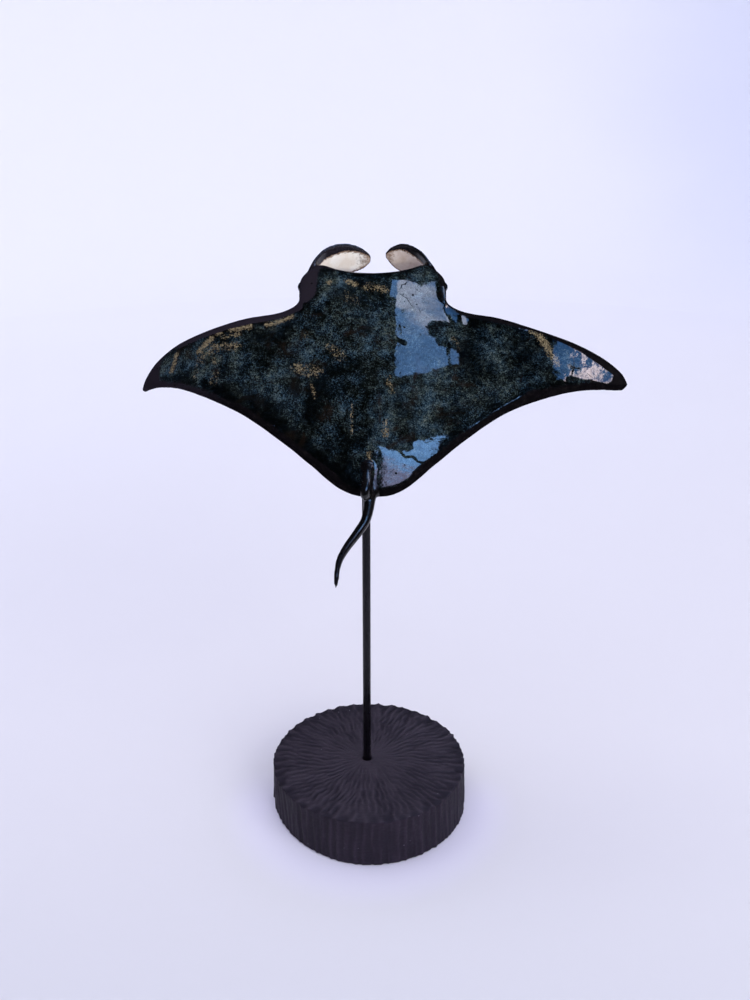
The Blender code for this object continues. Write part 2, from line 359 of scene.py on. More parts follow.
class Wire:
    """A value on its way through a material's nodes, which can be summed, eased and patterned."""

    def __init__(self, graph: "Graph", socket: bpy.types.NodeSocket) -> None:
        """Holds the tree and the output that the value comes from."""
        self.graph, self.socket = graph, socket

    def __add__(self, other: Value) -> "Wire":
        """The sum."""
        return self.graph.math("ADD", self, other)

    def __sub__(self, other: Value) -> "Wire":
        """The difference."""
        return self.graph.math("SUBTRACT", self, other)

    def __rsub__(self, other: float) -> "Wire":
        """The difference from a number."""
        return self.graph.math("SUBTRACT", other, self)

    def __mul__(self, other: Value) -> "Wire":
        """The product."""
        return self.graph.math("MULTIPLY", self, other)

    def most(self, other: Value) -> "Wire":
        """The larger of two values."""
        return self.graph.math("MAXIMUM", self, other)

    def ease(self, low: float, high: float, first: float = 0, last: float = 1) -> "Wire":
        """Eases from one number to another between two limits.

        Args:
            low: Where the change begins.
            high: Where it ends.
            first: The result up to the lower limit.
            last: The result from the upper limit on.

        Returns:
            The eased value.
        """
        labels = ("Value", "From Min", "From Max", "To Min", "To Max")
        inputs = dict(zip(labels, (self, low, high, first, last)))
        return self.graph.wire("Result", "MapRange", inputs, interpolation_type="SMOOTHSTEP")

    def axis(self, axis: Axis) -> "Wire":
        """One of the coordinates."""
        return self.graph.wire(axis.value, "SeparateXYZ", {"Vector": self})

    def reach(self) -> "Wire":
        """How far the coordinates are from their origin."""
        return self.graph.wire("Value", "VectorMath", {0: self}, operation="LENGTH")

    def noise(self, size: float, detail: float = 2, rough: float = 0.5, distortion: float = 0) -> "Wire":
        """Soft random blobs.

        Args:
            size: How big the blobs are, in the coordinates' unit.
            detail: How many finer layers are added.
            rough: How strong the finer layers are.
            distortion: How much the blobs are stirred.

        Returns:
            A value round 0.5.
        """
        inputs = {"Scale": 1 / size, "Detail": detail, "Roughness": rough, "Distortion": distortion}
        return self.graph.wire("Fac", "TexNoise", {"Vector": self, **inputs})

    def cells(self, size: float, output: str = "Distance", feature: str = "F1") -> "Wire":
        """Random cells of a size: the distance to them, or a random colour for each."""
        return self.graph.wire(output, "TexVoronoi", {"Vector": self, "Scale": 1 / size}, feature=feature)

    def chance(self, size: float, channel: int) -> "Wire":
        """A random number for each cell of a size."""
        return self.graph.wire(channel, "SeparateColor", {"Color": self.cells(size, "Color")})

    def stirred(self, size: float, strength: float) -> "Wire":
        """Stirs the coordinates, so that straight lines wander.

        Args:
            size: How big the swirls are.
            strength: How far they carry.

        Returns:
            The stirred coordinates.
        """
        graph = self.graph
        noise = graph.wire("Color", "TexNoise", {"Vector": self, "Scale": 1 / size, "Detail": 2})
        centred = graph.wire(0, "VectorMath", {0: noise, 1: (0.5,) * 3}, operation="SUBTRACT")
        scaled = graph.wire(0, "VectorMath", {0: centred, "Scale": strength}, operation="SCALE")
        return graph.wire(0, "VectorMath", {0: self, 1: scaled}, operation="ADD")

    def bump(self, distance: float, strength: float = 1, under: Optional["Wire"] = None) -> "Wire":
        """Raises the surface by this value.

        Args:
            distance: What a height of 1 stands for, in metres.
            strength: How strongly it shows.
            under: The normal of a bump that this one lies on.

        Returns:
            The normal.
        """
        inputs = {"Height": self, "Distance": distance, "Strength": strength}
        if under is not None:
            inputs["Normal"] = under
        return self.graph.wire("Normal", "Bump", inputs)


class Graph:
    """A material's node tree, written with short calls."""

    def __init__(self, name: str) -> None:
        """Starts an empty material with an output.

        Args:
            name: The material's name.
        """
        self.made = bpy.data.materials.new(name)
        self.made.use_nodes = True
        self.tree = self.made.node_tree
        self.tree.nodes.clear()
        self.output = self.tree.nodes.new("ShaderNodeOutputMaterial")

    def add(self, kind: str, inputs: dict[Union[int, str], Value], **settings: object) -> bpy.types.Node:
        """Adds a node.

        Args:
            kind: The node's type, without its ShaderNode prefix.
            inputs: A number, a colour or a wire for each input that is set.
            settings: The node's own settings.

        Returns:
            The new node.
        """
        node = self.tree.nodes.new(f"ShaderNode{kind}")
        for label, setting in settings.items():
            setattr(node, label, setting)
        for label, value in inputs.items():
            socket = node.inputs[label]
            if isinstance(value, Wire):
                self.tree.links.new(value.socket, socket)
            elif isinstance(value, (int, float)):
                socket.default_value = value
            else:
                socket.default_value = (*value, 1)[: len(socket.default_value)]
        return node

    def wire(self, output: Union[int, str], kind: str, inputs: dict, **settings: object) -> Wire:
        """Adds a node and reads one of its outputs."""
        return Wire(self, self.add(kind, inputs, **settings).outputs[output])

    def math(self, operation: str, *values: Value) -> Wire:
        """Works out a sum, product or the like."""
        return self.wire(0, "Math", dict(enumerate(values)), operation=operation)

    def mix(self, share: Value, first: Value, second: Value, blend: str = "MIX") -> Wire:
        """Blends a share of the second colour into the first."""
        inputs = {0: share, 6: first, 7: second}
        return self.wire(2, "Mix", inputs, data_type="RGBA", blend_type=blend)

    def ramp(self, value: Wire, stops: Sequence[tuple[float, Colour]]) -> Wire:
        """Turns a value into a colour.

        Args:
            value: What is read.
            stops: Places and the colours there.

        Returns:
            The colour.
        """
        node = self.add("ValToRGB", {"Fac": value})
        elements = node.color_ramp.elements
        while len(elements) < len(stops):
            elements.new(0.5)
        for element, (place, colour) in zip(elements, stops):
            element.position = place
            element.color = (*colour, 1)
        return Wire(self, node.outputs["Color"])

    def place(self, scale: Place, turn: Place = (0, 0, 0), shift: Place = (0, 0, 0)) -> Wire:
        """Gives the piece's own coordinates, scaled, turned and shifted.

        Args:
            scale: How many units there are to a metre, along each axis.
            turn: How far they are turned, in radians.
            shift: How far they are shifted, in the new unit.

        Returns:
            The coordinates.
        """
        own = self.wire("Object", "TexCoord", {})
        inputs = {"Vector": own, "Location": shift, "Rotation": turn, "Scale": scale}
        return self.wire("Vector", "Mapping", inputs)

    def map(self, paint: Paint) -> Wire:
        """Reads one of the piece's painted maps."""
        return self.wire("Fac", "Attribute", {}, attribute_name=paint.value)

    def shade(self, shader: str = "BsdfPrincipled", **inputs: Value) -> Material:
        """Ends the tree in a shader.

        Args:
            shader: The shader node's type.
            inputs: Its inputs, named with underscores for spaces.

        Returns:
            The finished material.
        """
        node = self.add(shader, {label.replace("_", " "): value for label, value in inputs.items()})
        self.tree.links.new(node.outputs[0], self.output.inputs["Surface"])
        return self.made


@dataclass(frozen=True)
class Finish:
    """What every finish has: a name, and a material that is made once."""

    name: str

    def material(self) -> Material:
        """The finish's material."""
        return bpy.data.materials.get(self.name) or self.mixed(Graph(self.name))

    def mixed(self, graph: Graph) -> Material:
        """Builds the material in an empty graph. Each finish has its own."""
        raise NotImplementedError


@dataclass(frozen=True)
class FigureGlaze(Finish):
    """Mottled dark glaze on the back, black at the rims, cream on the belly and inside the lobes."""

    name: str = "mottled_ceramic_glaze"
    turn: float = 0.0  # the figure's nose-up angle
    centre: Place = (0, 0, 0)  # its middle, in millimetres
    black: Colour = (0.0006, 0.0009, 0.0012)
    night: Colour = (0.0055, 0.0085, 0.0100)
    teal: Colour = (0.021, 0.032, 0.037)
    frost: Colour = (0.095, 0.118, 0.117)
    warm_cast: Colour = (1.2, 1.07, 0.85)
    cool_cast: Colour = (0.75, 0.96, 1.2)
    brown: Colour = (0.009, 0.0055, 0.0035)
    gold: Colour = (0.25, 0.195, 0.115)
    amber: Colour = (0.075, 0.052, 0.028)
    # satin: a painted sheen, the grey that the left front rims show in place of their dim reflection of the
    # room
    satin: Colour = (0.0145, 0.0115, 0.0160)
    soot: Colour = (0.0032, 0.0026, 0.0032)
    rim_grain: Colour = (0.014, 0.011, 0.011)
    cream: Colour = (0.85, 0.725, 0.645)
    ivory: Colour = (0.94, 0.86, 0.82)
    tan: Colour = (0.5, 0.4, 0.3)
    rust: Colour = (0.17, 0.085, 0.045)
    # the grey that the right lobe's cream is darkened by, as painted shade
    lobe_shade_tint: Colour = (0.64, 0.565, 0.53)
    blot: Colour = (0.03, 0.035, 0.04)
    # the painted shade in the gill slits
    gill_shade: Colour = (0.03, 0.028, 0.03)

    def mixed(self, graph: Graph) -> Material:
        """Builds the glaze from the back's mottle, the strokes, the rims and the pale glaze.

        Args:
            graph: The empty graph.

        Returns:
            The material.
        """
        middle = Matrix.Rotation(-self.turn, 4, "X") @ Vector(self.centre)
        where = graph.place(MILLIMETRES, (-self.turn, 0, 0), tuple(-middle))
        wander = where.noise(7, 3, 0.6)
        fray = (where.noise(1.3, 4, 0.75) - 0.5) * 6
        edge = graph.map(Paint.RIM) + (wander - 0.5) * -2.6
        dark_rim = (edge + fray).ease(1.3, 3.8, 1, 0)
        colour = graph.mix(dark_rim, self.strokes(where, self.mottle(where)), self.rim_colour(where))
        pale, cream = self.pale_glaze(where)
        colour = graph.mix(pale, colour, cream)
        dark = (1 - self.pinholes(where)) * (1 - self.cracks(where))
        rough = where.noise(3, 3, 0.6).ease(0.3, 0.75, 0.035, 0.07)
        dull = where.noise(0.8, 4, 0.75).ease(0.56, 0.72, 0, 0.12)
        rough = rough + dull * wander.ease(0.42, 0.6) + dark_rim * 0.16 + (1 - dark) * 0.3
        ripple = where.noise(4.5, 2, 0.5).bump(0.1 * MM)
        grit = where.noise(0.9, 3, 0.6).bump(0.012 * MM, 1, ripple)
        return graph.shade(
            Base_Color=graph.mix(1 - dark, colour, self.black),
            Roughness=rough,
            Normal=dark.bump(0.1 * MM, 0.8, grit),
            IOR=1.52,
            Specular_IOR_Level=self.shine(where, dark),
        )

    def shine(self, where: Wire, dark: Wire) -> Wire:
        """How strongly the glaze mirrors: least on the belly, in the dry places, pits and cracks.

        Args:
            where: The figure's coordinates.
            dark: 0 in a pit or a crack.

        Returns:
            The specular level.
        """
        read = where.graph.map
        fray = where.noise(1.2, 3, 0.7) + where.noise(4, 2)
        dry = read(Paint.DRY) + (fray - 1) * 0.6 + read(Paint.CRAZE) * 0.24
        under = read(Paint.BELLY) * read(Paint.RIM).ease(5, 3)
        dull = dry.ease(0.4, 0.6, 0, 0.95).most(under * 0.84)
        cloud = where.noise(3.2, 4, 0.75, 0.6) + where.noise(0.8, 3, 0.7)
        return dull.ease(0, 1, 0.5, 0) * (dark * cloud.ease(0.75, 1.2, 0.72, 1.12))

    def mottle(self, where: Wire) -> Wire:
        """The back's glaze: fine pale flecks over cloudy dark blue-green.

        Args:
            where: The figure's coordinates.

        Returns:
            The colour.
        """
        graph = where.graph
        tone = (where.chance(0.42, 0) - 0.5) * 0.22 + 0.5
        for size, weight in ((0.6, 0.62), (1.6, 0.42), (5, 0.42), (17, 0.75)):
            tone = tone + (where.noise(size, 3, 0.72) - 0.5) * weight
        # darker towards the rim; painted sheen: lighter towards the left wing tip, for its dim grey
        # reflection of the room
        tone = tone - graph.map(Paint.RIM).ease(3, 8.5, 0.12, 0) + where.axis(Axis.X).ease(-100, -84, 0.15, 0)
        stops = ((0.38, self.black), (0.5, self.night), (0.62, self.teal), (0.84, self.frost))
        colour = graph.ramp(tone, stops)
        warm, cool = (graph.mix(1, colour, cast, "MULTIPLY") for cast in (self.warm_cast, self.cool_cast))
        colour = graph.mix(where.noise(8, 5, 0.75).ease(0.36, 0.64), warm, cool)
        colour = graph.mix(where.noise(12, 4, 0.65, 0.8).ease(0.56, 0.7, 0, 0.8), colour, self.brown)
        return graph.mix(graph.map(Paint.POOL) * 0.85, colour, self.black)

    def strokes(self, where: Wire, colour: Wire) -> Wire:
        """Lays the gold-brown brush marks over a colour, broken up by the grain.

        Args:
            where: The figure's coordinates.
            colour: The colour below.

        Returns:
            The colour with the marks.
        """
        gold = where.graph.map(Paint.GOLD)
        reach = (gold + (where.noise(3.5, 3, 0.6) - 0.5) * 0.9) * gold.ease(0.03, 0.2)
        grain = where.noise(0.9, 3, 0.75) + where.chance(0.5, 1) * 0.22
        cover = (grain + reach * 0.36).ease(0.72, 0.92, 0, 0.9)
        tan = where.graph.mix(where.noise(1.1, 3, 0.7).ease(0.36, 0.62), self.amber, self.gold)
        return where.graph.mix(cover * reach.ease(0.05, 0.4), colour, tan)

    def rim_colour(self, where: Wire) -> Wire:
        """The smooth near-black glaze of the rims, with a painted grey sheen at the left front, and faint
        brown grains.

        Args:
            where: The figure's coordinates.

        Returns:
            The colour.
        """
        # painted sheen: the left front rims are lightened to the satin grey of their dim reflection of the
        # room
        painted_light = where.axis(Axis.Y).ease(-12, 6) * where.axis(Axis.X).ease(0, 26, 1, 0)
        grain = where.noise(2.2, 4, 0.7).ease(0.45, 0.8) * 0.6
        return where.graph.mix(grain, where.graph.mix(painted_light, self.soot, self.satin), self.rim_grain)

    def pale_glaze(self, where: Wire) -> tuple[Wire, Wire]:
        """The cream glaze of the belly and of the lobes' inner faces.

        Args:
            where: The figure's coordinates.

        Returns:
            Where the cream glaze lies, and its colour.
        """
        mix, inside, under = where.graph.mix, where.graph.map(Paint.CREAM), where.graph.map(Paint.BELLY)
        ragged = inside + (where.noise(1.1, 3, 0.7) - 0.5) * 0.6
        reach = where.graph.map(Paint.RIM) + (where.noise(9, 5, 0.68) - 0.5) * 16
        share = ragged.ease(0.26, 0.46).most(under * reach.ease(4.5, 8.5))
        colour = mix(where.noise(5, 4, 0.6).ease(0.35, 0.68), self.cream, self.ivory)
        colour = mix(where.noise(1.4, 4, 0.7).ease(0.55, 0.8, 0, 0.35), colour, self.tan)
        colour = mix(where.noise(8, 4, 0.7, 0.5).ease(0.62, 0.7) * under * 0.85, colour, self.blot)
        # painted shade: the right lobe's cream is greyed and darkened, as it lies turned away from the light
        thin = where.graph.map(Paint.THIN) * where.noise(3, 3, 0.6).ease(0.3, 0.7, 0.75, 1)
        colour = mix(thin, colour, self.lobe_shade_tint, "MULTIPLY")
        colour = mix(ragged.ease(0.5, 0.82, 0.9, 0) * inside.ease(0, 0.1), colour, self.rust)
        # painted shade: the gill slits in the belly are darkened
        return share, mix(where.graph.map(Paint.POOL) * under * 0.85, colour, self.gill_shade)

    def pinholes(self, where: Wire) -> Wire:
        """Sparse round pits where gas left the glaze: 1 in a pit."""
        return where.cells(5.2).ease(0.07, 0.115, 1, 0) * where.chance(5.2, 0).ease(0.36, 0.37)

    def cracks(self, where: Wire) -> Wire:
        """A few fine crawling cracks: 1 in a crack."""
        line = where.stirred(5, 7).cells(21, feature="DISTANCE_TO_EDGE").ease(0.004, 0.012, 1, 0)
        return line * (where.noise(11, 2).ease(0.5, 0.58) * where.graph.map(Paint.CRAZE))


@dataclass(frozen=True)
class EyeGlaze(Finish):
    """Glassy black glaze with a faint blue depth."""

    name: str = "black_eye_glaze"
    black: Colour = (0.0016, 0.0016, 0.002)
    depth: Colour = (0.008, 0.010, 0.017)

    def mixed(self, graph: Graph) -> Material:
        """Builds the glaze from a cloudy depth and a slight ripple.

        Args:
            graph: The empty graph.

        Returns:
            The material.
        """
        where = graph.place(MILLIMETRES)
        return graph.shade(
            Base_Color=graph.mix(where.noise(1.1, 3, 0.6).ease(0.4, 0.7), self.black, self.depth),
            Roughness=where.noise(0.8, 2).ease(0.3, 0.7, 0.03, 0.08),
            Normal=where.noise(1.6, 1).bump(0.12 * MM, 0.4),
            IOR=1.52,
        )


@dataclass(frozen=True)
class BlackenedSteel(Finish):
    """Steel rod stock under a satin black coat, thinly laid and drawn lengthwise."""

    name: str = "satin_black_steel"
    coat: Colour = (0.0034, 0.0024, 0.0050)
    worn: Colour = (0.0115, 0.0098, 0.0135)
    draw_lines: Place = (2400, 2400, 40)  # how many to a metre, along each axis

    def mixed(self, graph: Graph) -> Material:
        """Builds the coat from lengthwise draw lines and small spots worn by rubbing.

        Args:
            graph: The empty graph.

        Returns:
            The material.
        """
        lines = graph.place(self.draw_lines).noise(1, 3, 0.6)
        rubs = graph.place(MILLIMETRES).noise(5, 4, 0.7)
        return graph.shade(
            Base_Color=graph.mix(lines.ease(0.45, 0.75) * rubs.ease(0.4, 0.75), self.coat, self.worn),
            Roughness=(lines + rubs).ease(0.7, 1.3, 0.24, 0.42),
            Normal=lines.bump(0.03 * MM, 0.5),
            Metallic=0.35,
            Specular_IOR_Level=0.36,
        )


@dataclass(frozen=True)
class StainedWood(Finish):
    """Close-grained wood, carved and stained a dusty black."""

    name: str = "black_stained_wood"
    # hollow: the painted shade of the deep cuts; ridge: the lighter uncut wood
    hollow: Colour = (0.0190, 0.0132, 0.0225)
    ridge: Colour = (0.0405, 0.0295, 0.0425)
    streak: Colour = (0.034, 0.022, 0.030)
    dust: Colour = (0.32, 0.31, 0.34)
    # the painted shade of the side
    side_shade: Colour = (0.61, 0.525, 0.70)
    fibres: Place = (110, 1500, 800)  # how many to a metre, along each axis

    def mixed(self, graph: Graph) -> Material:
        """Builds the stain from the carving, with painted shade in the cuts and down the side, the grain and
        a little dust.

        Args:
            graph: The empty graph.

        Returns:
            The material.
        """
        where = graph.place(MILLIMETRES)
        fibre = graph.place(self.fibres).noise(1, 4, 0.65)
        painted_light = graph.map(Paint.CUT) + (where.noise(14, 4, 0.6) - 0.5) * 0.9
        # painted shade: the wood is darker where it is cut deeper and lighter on the ridges, broken up at
        # random
        colour = graph.mix(painted_light.ease(0.05, 0.75, 1, 0), self.hollow, self.ridge)
        colour = graph.mix(fibre.ease(0.45, 0.8, 0, 0.6), colour, self.streak)
        colour = graph.mix(where.noise(0.7, 3, 0.7).ease(0.56, 0.75, 0, 0.35), colour, self.ridge)
        specks = where.cells(5).ease(0.035, 0.06, 1, 0) * where.noise(12, 1).ease(0.5, 0.62)
        colour = graph.mix(specks * 0.8, colour, self.dust)
        # painted shade: the side is darker than the top
        side = where.axis(Axis.Z).ease(25.5, 27, 0.85, 0)
        return graph.shade(
            Base_Color=graph.mix(side, colour, self.side_shade, "MULTIPLY"),
            Roughness=fibre.ease(0.3, 0.7, 0.62, 0.8),
            Normal=where.noise(1.5, 4, 0.7).bump(0.4 * MM, 0.7, fibre.bump(0.12 * MM, 0.5)),
            Specular_IOR_Level=0.28,
        )


@dataclass(frozen=True)
class BackdropPaper(Finish):
    """Pale lavender paper for the floor and the wall behind."""

    name: str = "pale_backdrop_paper"
    # painted shading of the paper: darker at the front, lighter far back, greyer on the right-hand wall
    front: Colour = (0.612, 0.592, 0.612)
    near: Colour = (0.715, 0.675, 0.69)
    far: Colour = (0.86, 0.83, 0.85)
    right: Colour = (0.715, 0.71, 0.80)
    # the painted light that lifts the shadow round the base
    shadow_lift_tint: Colour = (1.09, 1.075, 1.20)

    def mixed(self, graph: Graph) -> Material:
        """Builds the paper from painted shading, darker at the front and on the right-hand wall and lighter
        far back, a painted lift of the shadow round the base, and a soft tooth.

        Args:
            graph: The empty graph.

        Returns:
            The material.
        """
        where = graph.place(METRES)
        across, back = where.axis(Axis.X), where.axis(Axis.Y)
        cloud = (where.noise(0.5, 2) - 0.5) * 0.3
        # painted shade: lighter far back, darker near the front
        colour = graph.mix((back - across * 0.28 + cloud).ease(-0.2, 1.4), self.near, self.far)
        # painted shade: the right-hand wall is darker
        right = (across + cloud).ease(0.2, 0.8) * back.ease(0.6, 1.4)
        colour = graph.mix(right, colour, self.right)
        colour = graph.mix(back.ease(-0.3, 0.05), self.front, colour)
        # painted light: the paper round the front of the base is lightened and blued, lifting its shadow
        foot = where.reach().ease(0.055, 0.082, 1, 0) * back.ease(-0.01, 0.03, 1, 0)
        return graph.shade(
            Base_Color=graph.mix(foot, colour, self.shadow_lift_tint, "MULTIPLY"),
            Roughness=0.95,
            Normal=where.noise(0.004, 2).bump(0.02 * MM, 0.2),
            Specular_IOR_Level=0.1,
        )


@dataclass(frozen=True)
class SkyGlow(Finish):
    """The glow of one window pane: pale cloud towards one place and clear blue towards another."""

    axis: Axis  # which way the colour changes
    pale_at: float  # where along it the cloud is, in metres
    blue_at: float  # and where the blue is
    strength: float
    cloud: Colour = (0.66, 0.75, 1.0)
    blue: Colour = (0.125, 0.285, 0.62)

    def mixed(self, graph: Graph) -> Material:
        """Builds the glow from drifting cloud over blue.

        Args:
            graph: The empty graph.

        Returns:
            The material.
        """
        where = graph.place(METRES)
        drift = (where.noise(0.2, 4, 0.6) - 0.5) * 0.35
        (low, first), (high, last) = sorted(((self.pale_at, self.cloud), (self.blue_at, self.blue)))
        share = (where.axis(self.axis) + drift).ease(low, high)
        return graph.shade("Emission", Color=graph.mix(share, first, last), Strength=self.strength)


# ---------------------------------------------------------------- the figure's shapes


@dataclass(frozen=True)
class Pose:
    """Where the figure is held over the base, and how far its nose is up."""

    centre: Place = (2.2, 0, 232.1)
    nose_up: float = math.radians(45)

    def matrix(self) -> Matrix:
        """From the figure's millimetres to the frame's metres."""
        middle = Matrix.Translation(Vector(self.centre) * MM)
        return middle @ Matrix.Rotation(self.nose_up, 4, "X") @ Matrix.Scale(MM, 4)

    def out(self, points: np.ndarray) -> np.ndarray:
        """Moves points from the figure's own frame into the frame of the nodes."""
        matrix = np.array(self.matrix())
        return points @ matrix[:3, :3].T + matrix[:3, 3]

    def back(self, points: np.ndarray) -> np.ndarray:
        """Moves points from the frame of the nodes into the figure's own."""
        matrix = np.array(self.matrix().inverted())
        return points @ matrix[:3, :3].T + matrix[:3, 3]


@dataclass(frozen=True)
class BodyForm:
    """Head, trunk and wings as one loft from wing tip to wing tip."""

    # front out, front y, rear out, rear y, from the midline to the wing's tip
    stations: tuple[tuple[float, float, float, float], ...] = (
        (0.0, 56.0, 0.0, -53.8),
        (9.0, 56.6, 7.5, -53.2),
        (17.0, 58.4, 14.5, -50.0),
        (24.0, 60.6, 20.5, -45.2),
        (29.2, 57.8, 25.5, -40.4),
        (33.1, 53.0, 30.0, -36.6),
        (33.7, 47.0, 34.0, -33.0),
        (33.7, 41.6, 37.5, -30.0),
        (37.4, 38.5, 43.0, -25.6),
        (46.0, 36.0, 50.0, -20.2),
        (59.0, 33.8, 60.0, -13.6),
        (76.0, 29.4, 75.0, -6.2),
        (95.0, 24.9, 92.0, 0.6),
        (109.0, 20.0, 105.0, 4.0),
        (117.5, 14.8, 113.0, 5.4),
        (120.8, 9.6, 117.5, 6.4),
    )
    span: float = 121
    bend_start: float = 50
    tip_bend: tuple[float, float] = (math.radians(56), math.radians(26))  # left, right
    tip_sweep: tuple[tuple[float, float], ...] = ((2.6, 5.0), (-1.6, -2.2))  # front and rear, left, right
    head_half: float = 5.4
    edge_half: float = 2.1
    tip_half: float = 1.6
    head_thick_out: float = 31
    wing_thin_out: float = 44
    tip_thin_out: float = 60
    edge_round: float = 3.2
    back_rise: float = 7.5
    belly_drop: float = 6.5
    half_width: float = 33
    swell: float = 1.6
    hump_forward: float = 0.8
    hump_flat: float = 0.9
    steps: int = 22  # rings between two stations
    around: int = 132  # points round each ring

    def bend_radius(self, side: Side) -> float:
        """The radius that a wing is bent round."""
        return (self.span - self.bend_start) / self.tip_bend[side.row]

    def bent(self, side: Side, out: np.ndarray, y: np.ndarray, z: np.ndarray) -> np.ndarray:
        """Moves points of a flat wing to where its bend takes them.

        Args:
            side: Which wing.
            out: How far out each point is.
            y: How far forward.
            z: How far above the wing's middle.

        Returns:
            The points in the figure's frame.
        """
        radius = self.bend_radius(side)
        angle = np.clip(out - self.bend_start, 0, None) / radius
        flat = out <= self.bend_start
        x = np.where(flat, out, self.bend_start + (radius + z) * np.sin(angle))
        height = np.where(flat, z, (radius + z) * np.cos(angle) - radius)
        return np.stack([side.value * x, y, height], axis=-1)

    def unbent(self, points: np.ndarray) -> np.ndarray:
        """Moves points of the bent figure back to where they lay on the flat one.

        Args:
            points: Rows of x, y, z in the figure's frame.

        Returns:
            The same rows on the flat figure.
        """
        flat = points.copy()
        for side in Side:
            radius = self.bend_radius(side)
            out = side.value * points[:, 0]
            drop = points[:, 2] + radius
            angle = np.arctan2(out - self.bend_start, drop)
            wing = (out > 0) & (angle > 0)
            flat[wing, 0] = side.value * (self.bend_start + angle[wing] * radius)
            flat[wing, 2] = np.hypot(out - self.bend_start, drop)[wing] - radius
        return flat

    def edges(self, side: Side, place: float) -> tuple[float, float, float, float]:
        """Finds the flat outline's front and rear points at a place.

        Args:
            side: Which wing.
            place: Where between the stations.

        Returns:
            How far out and forward the front point is, and then the rear one.
        """
        front_out, front_y, rear_out, rear_y = along(self.stations, place)
        front_sweep, rear_sweep = self.tip_sweep[side.row]
        front_y += front_sweep * smoothstep(self.bend_start, self.span, front_out)
        rear_y += rear_sweep * smoothstep(self.bend_start, self.span, rear_out)
        return front_out, front_y, rear_out, rear_y

    def fullness(self, distance: np.ndarray) -> np.ndarray:
        """How full the rounded rim is at a distance in from the outline, from 0 to 1."""
        t = np.clip(distance / self.edge_round, 0, 1)
        return np.sqrt(1 - (1 - t) ** 2)

    def section(self, side: Side, place: float) -> np.ndarray:
        """Draws the ring round the body at a place.

        Args:
            side: Which wing.
            place: Where between the stations.

        Returns:
            The ring's points in the figure's frame.
        """
        front_out, front_y, rear_out, rear_y = self.edges(side, place)
        chord = math.hypot(front_out - rear_out, front_y - rear_y)
        head = smoothstep(self.wing_thin_out, self.head_thick_out, front_out)
        front_half = self.edge_half + (self.head_half - self.edge_half) * head
        turn = full_turn(self.around)
        share = (1 - np.cos(turn)) / 2
        out = np.clip(front_out + (rear_out - front_out) * share, 0, None)
        y = front_y + (rear_y - front_y) * share
        rim = self.fullness(chord * share) * self.fullness(chord * (1 - share))
        half = front_half + (self.edge_half - front_half) * smoothstep(0, 0.5, share)
        half += (self.tip_half - self.edge_half) * smoothstep(self.tip_thin_out, self.span, out)
        bell = np.exp(-((out / self.half_width) ** 2))
        hump = np.sin(np.pi * share**self.hump_forward).clip(0) ** self.hump_flat
        swell = self.swell * hump * (1 - smoothstep(0, self.span, out))
        above = rim * half + hump * bell * self.back_rise + swell
        below = -rim * half - hump * bell * self.belly_drop - swell
        return self.bent(side, out, y, np.where(turn <= np.pi + 1e-9, above, below))

    def rings(self) -> np.ndarray:
        """Draws all the rings, from the left tip to the right one.

        Returns:
            Points in the figure's frame, as rings by points by x, y, z.
        """
        spots = places(self.stations, self.steps)
        left = [self.section(Side.LEFT, spot) for spot in spots[:0:-1]]
        return np.array(left + [self.section(Side.RIGHT, spot) for spot in spots])

    def rim_gap(self, flat: np.ndarray) -> np.ndarray:
        """Measures how far in from the outline flat points lie.

        Args:
            flat: Rows of x, y, z on the flat figure.

        Returns:
            Each point's distance, in millimetres.
        """
        outline = []
        for side in Side:
            for spot in places(self.stations, self.steps):
                front_out, front_y, rear_out, rear_y = self.edges(side, spot)
                outline += [(side.value * front_out, front_y), (side.value * rear_out, rear_y)]
            outline += [tuple(row) for row in np.linspace(outline[-2], outline[-1], 12)]
        level = ((0, 0), (0, 1))
        return nearest(np.pad(outline, level), np.pad(flat[:, :2], level))[1]


@dataclass(frozen=True)
class LobeForm:
    """One of the curled paddles beside the mouth: dark outside, a cream spoon inside."""

    side: Side
    # x, y, z, half width and how far the upper edge leans forward, from root to tip
    rows: tuple[tuple[float, float, float, float, float], ...]
    band_start: float  # how low across the lobe the dark upper band comes at its root
    band_most: float  # and the highest that it gets
    band_slope: float = 0.12  # how much it narrows from row to row
    half_thickness: float = 1.4
    dish: float = 0.75  # how deep the inner face is hollowed
    root_fill: float = 4.2  # the clay that thickens the root towards the mouth
    steps: int = 10
    around: int = 56
    cream_from: float = 1.5  # the row that the cream begins at
    tip_stain: float = 0.4  # how much brown comes through the cream at the tip

    def rings(self) -> tuple[np.ndarray, np.ndarray]:
        """Draws the lobe's rings and spreads the cream over their inner face.

        Returns:
            The rings in the figure's frame, and each point's share of cream.
        """
        last = len(self.rows) - 1
        turn = full_turn(self.around)
        inner = np.clip(-np.sin(turn), 0, 1)
        full = np.sign(np.sin(turn)) * np.abs(np.sin(turn)) ** 0.7
        rings, cream = [], []
        for place in places(self.rows, self.steps):
            *middle, half_width, lean = along(self.rows, place)
            upright, across = square_to(self.rows, place, lean)
            root = 1 - smoothstep(0.6, self.cream_from + 0.7, place)
            thick = full * self.half_thickness + self.dish * (1 - root) * smoothstep(0.25, 1, inner)
            thick -= self.root_fill * root * inner
            ring = np.outer(np.cos(turn) * half_width, upright) + np.outer(thick, across)
            rings.append((middle + ring) * (self.side.value, 1, 1))
            top = min(self.band_start + self.band_slope * place, self.band_most)
            amount = smoothstep(0.1, 0.78, inner)
            amount = amount * (1 - self.tip_stain * smoothstep(last - 3.8, last - 1.2, place))
            amount *= 1 - smoothstep(top - 0.22, top + 0.18, np.cos(turn))
            cream.append(amount * smoothstep(self.cream_from - 0.4, self.cream_from + 0.9, place))
        return np.array(rings), np.array(cream)


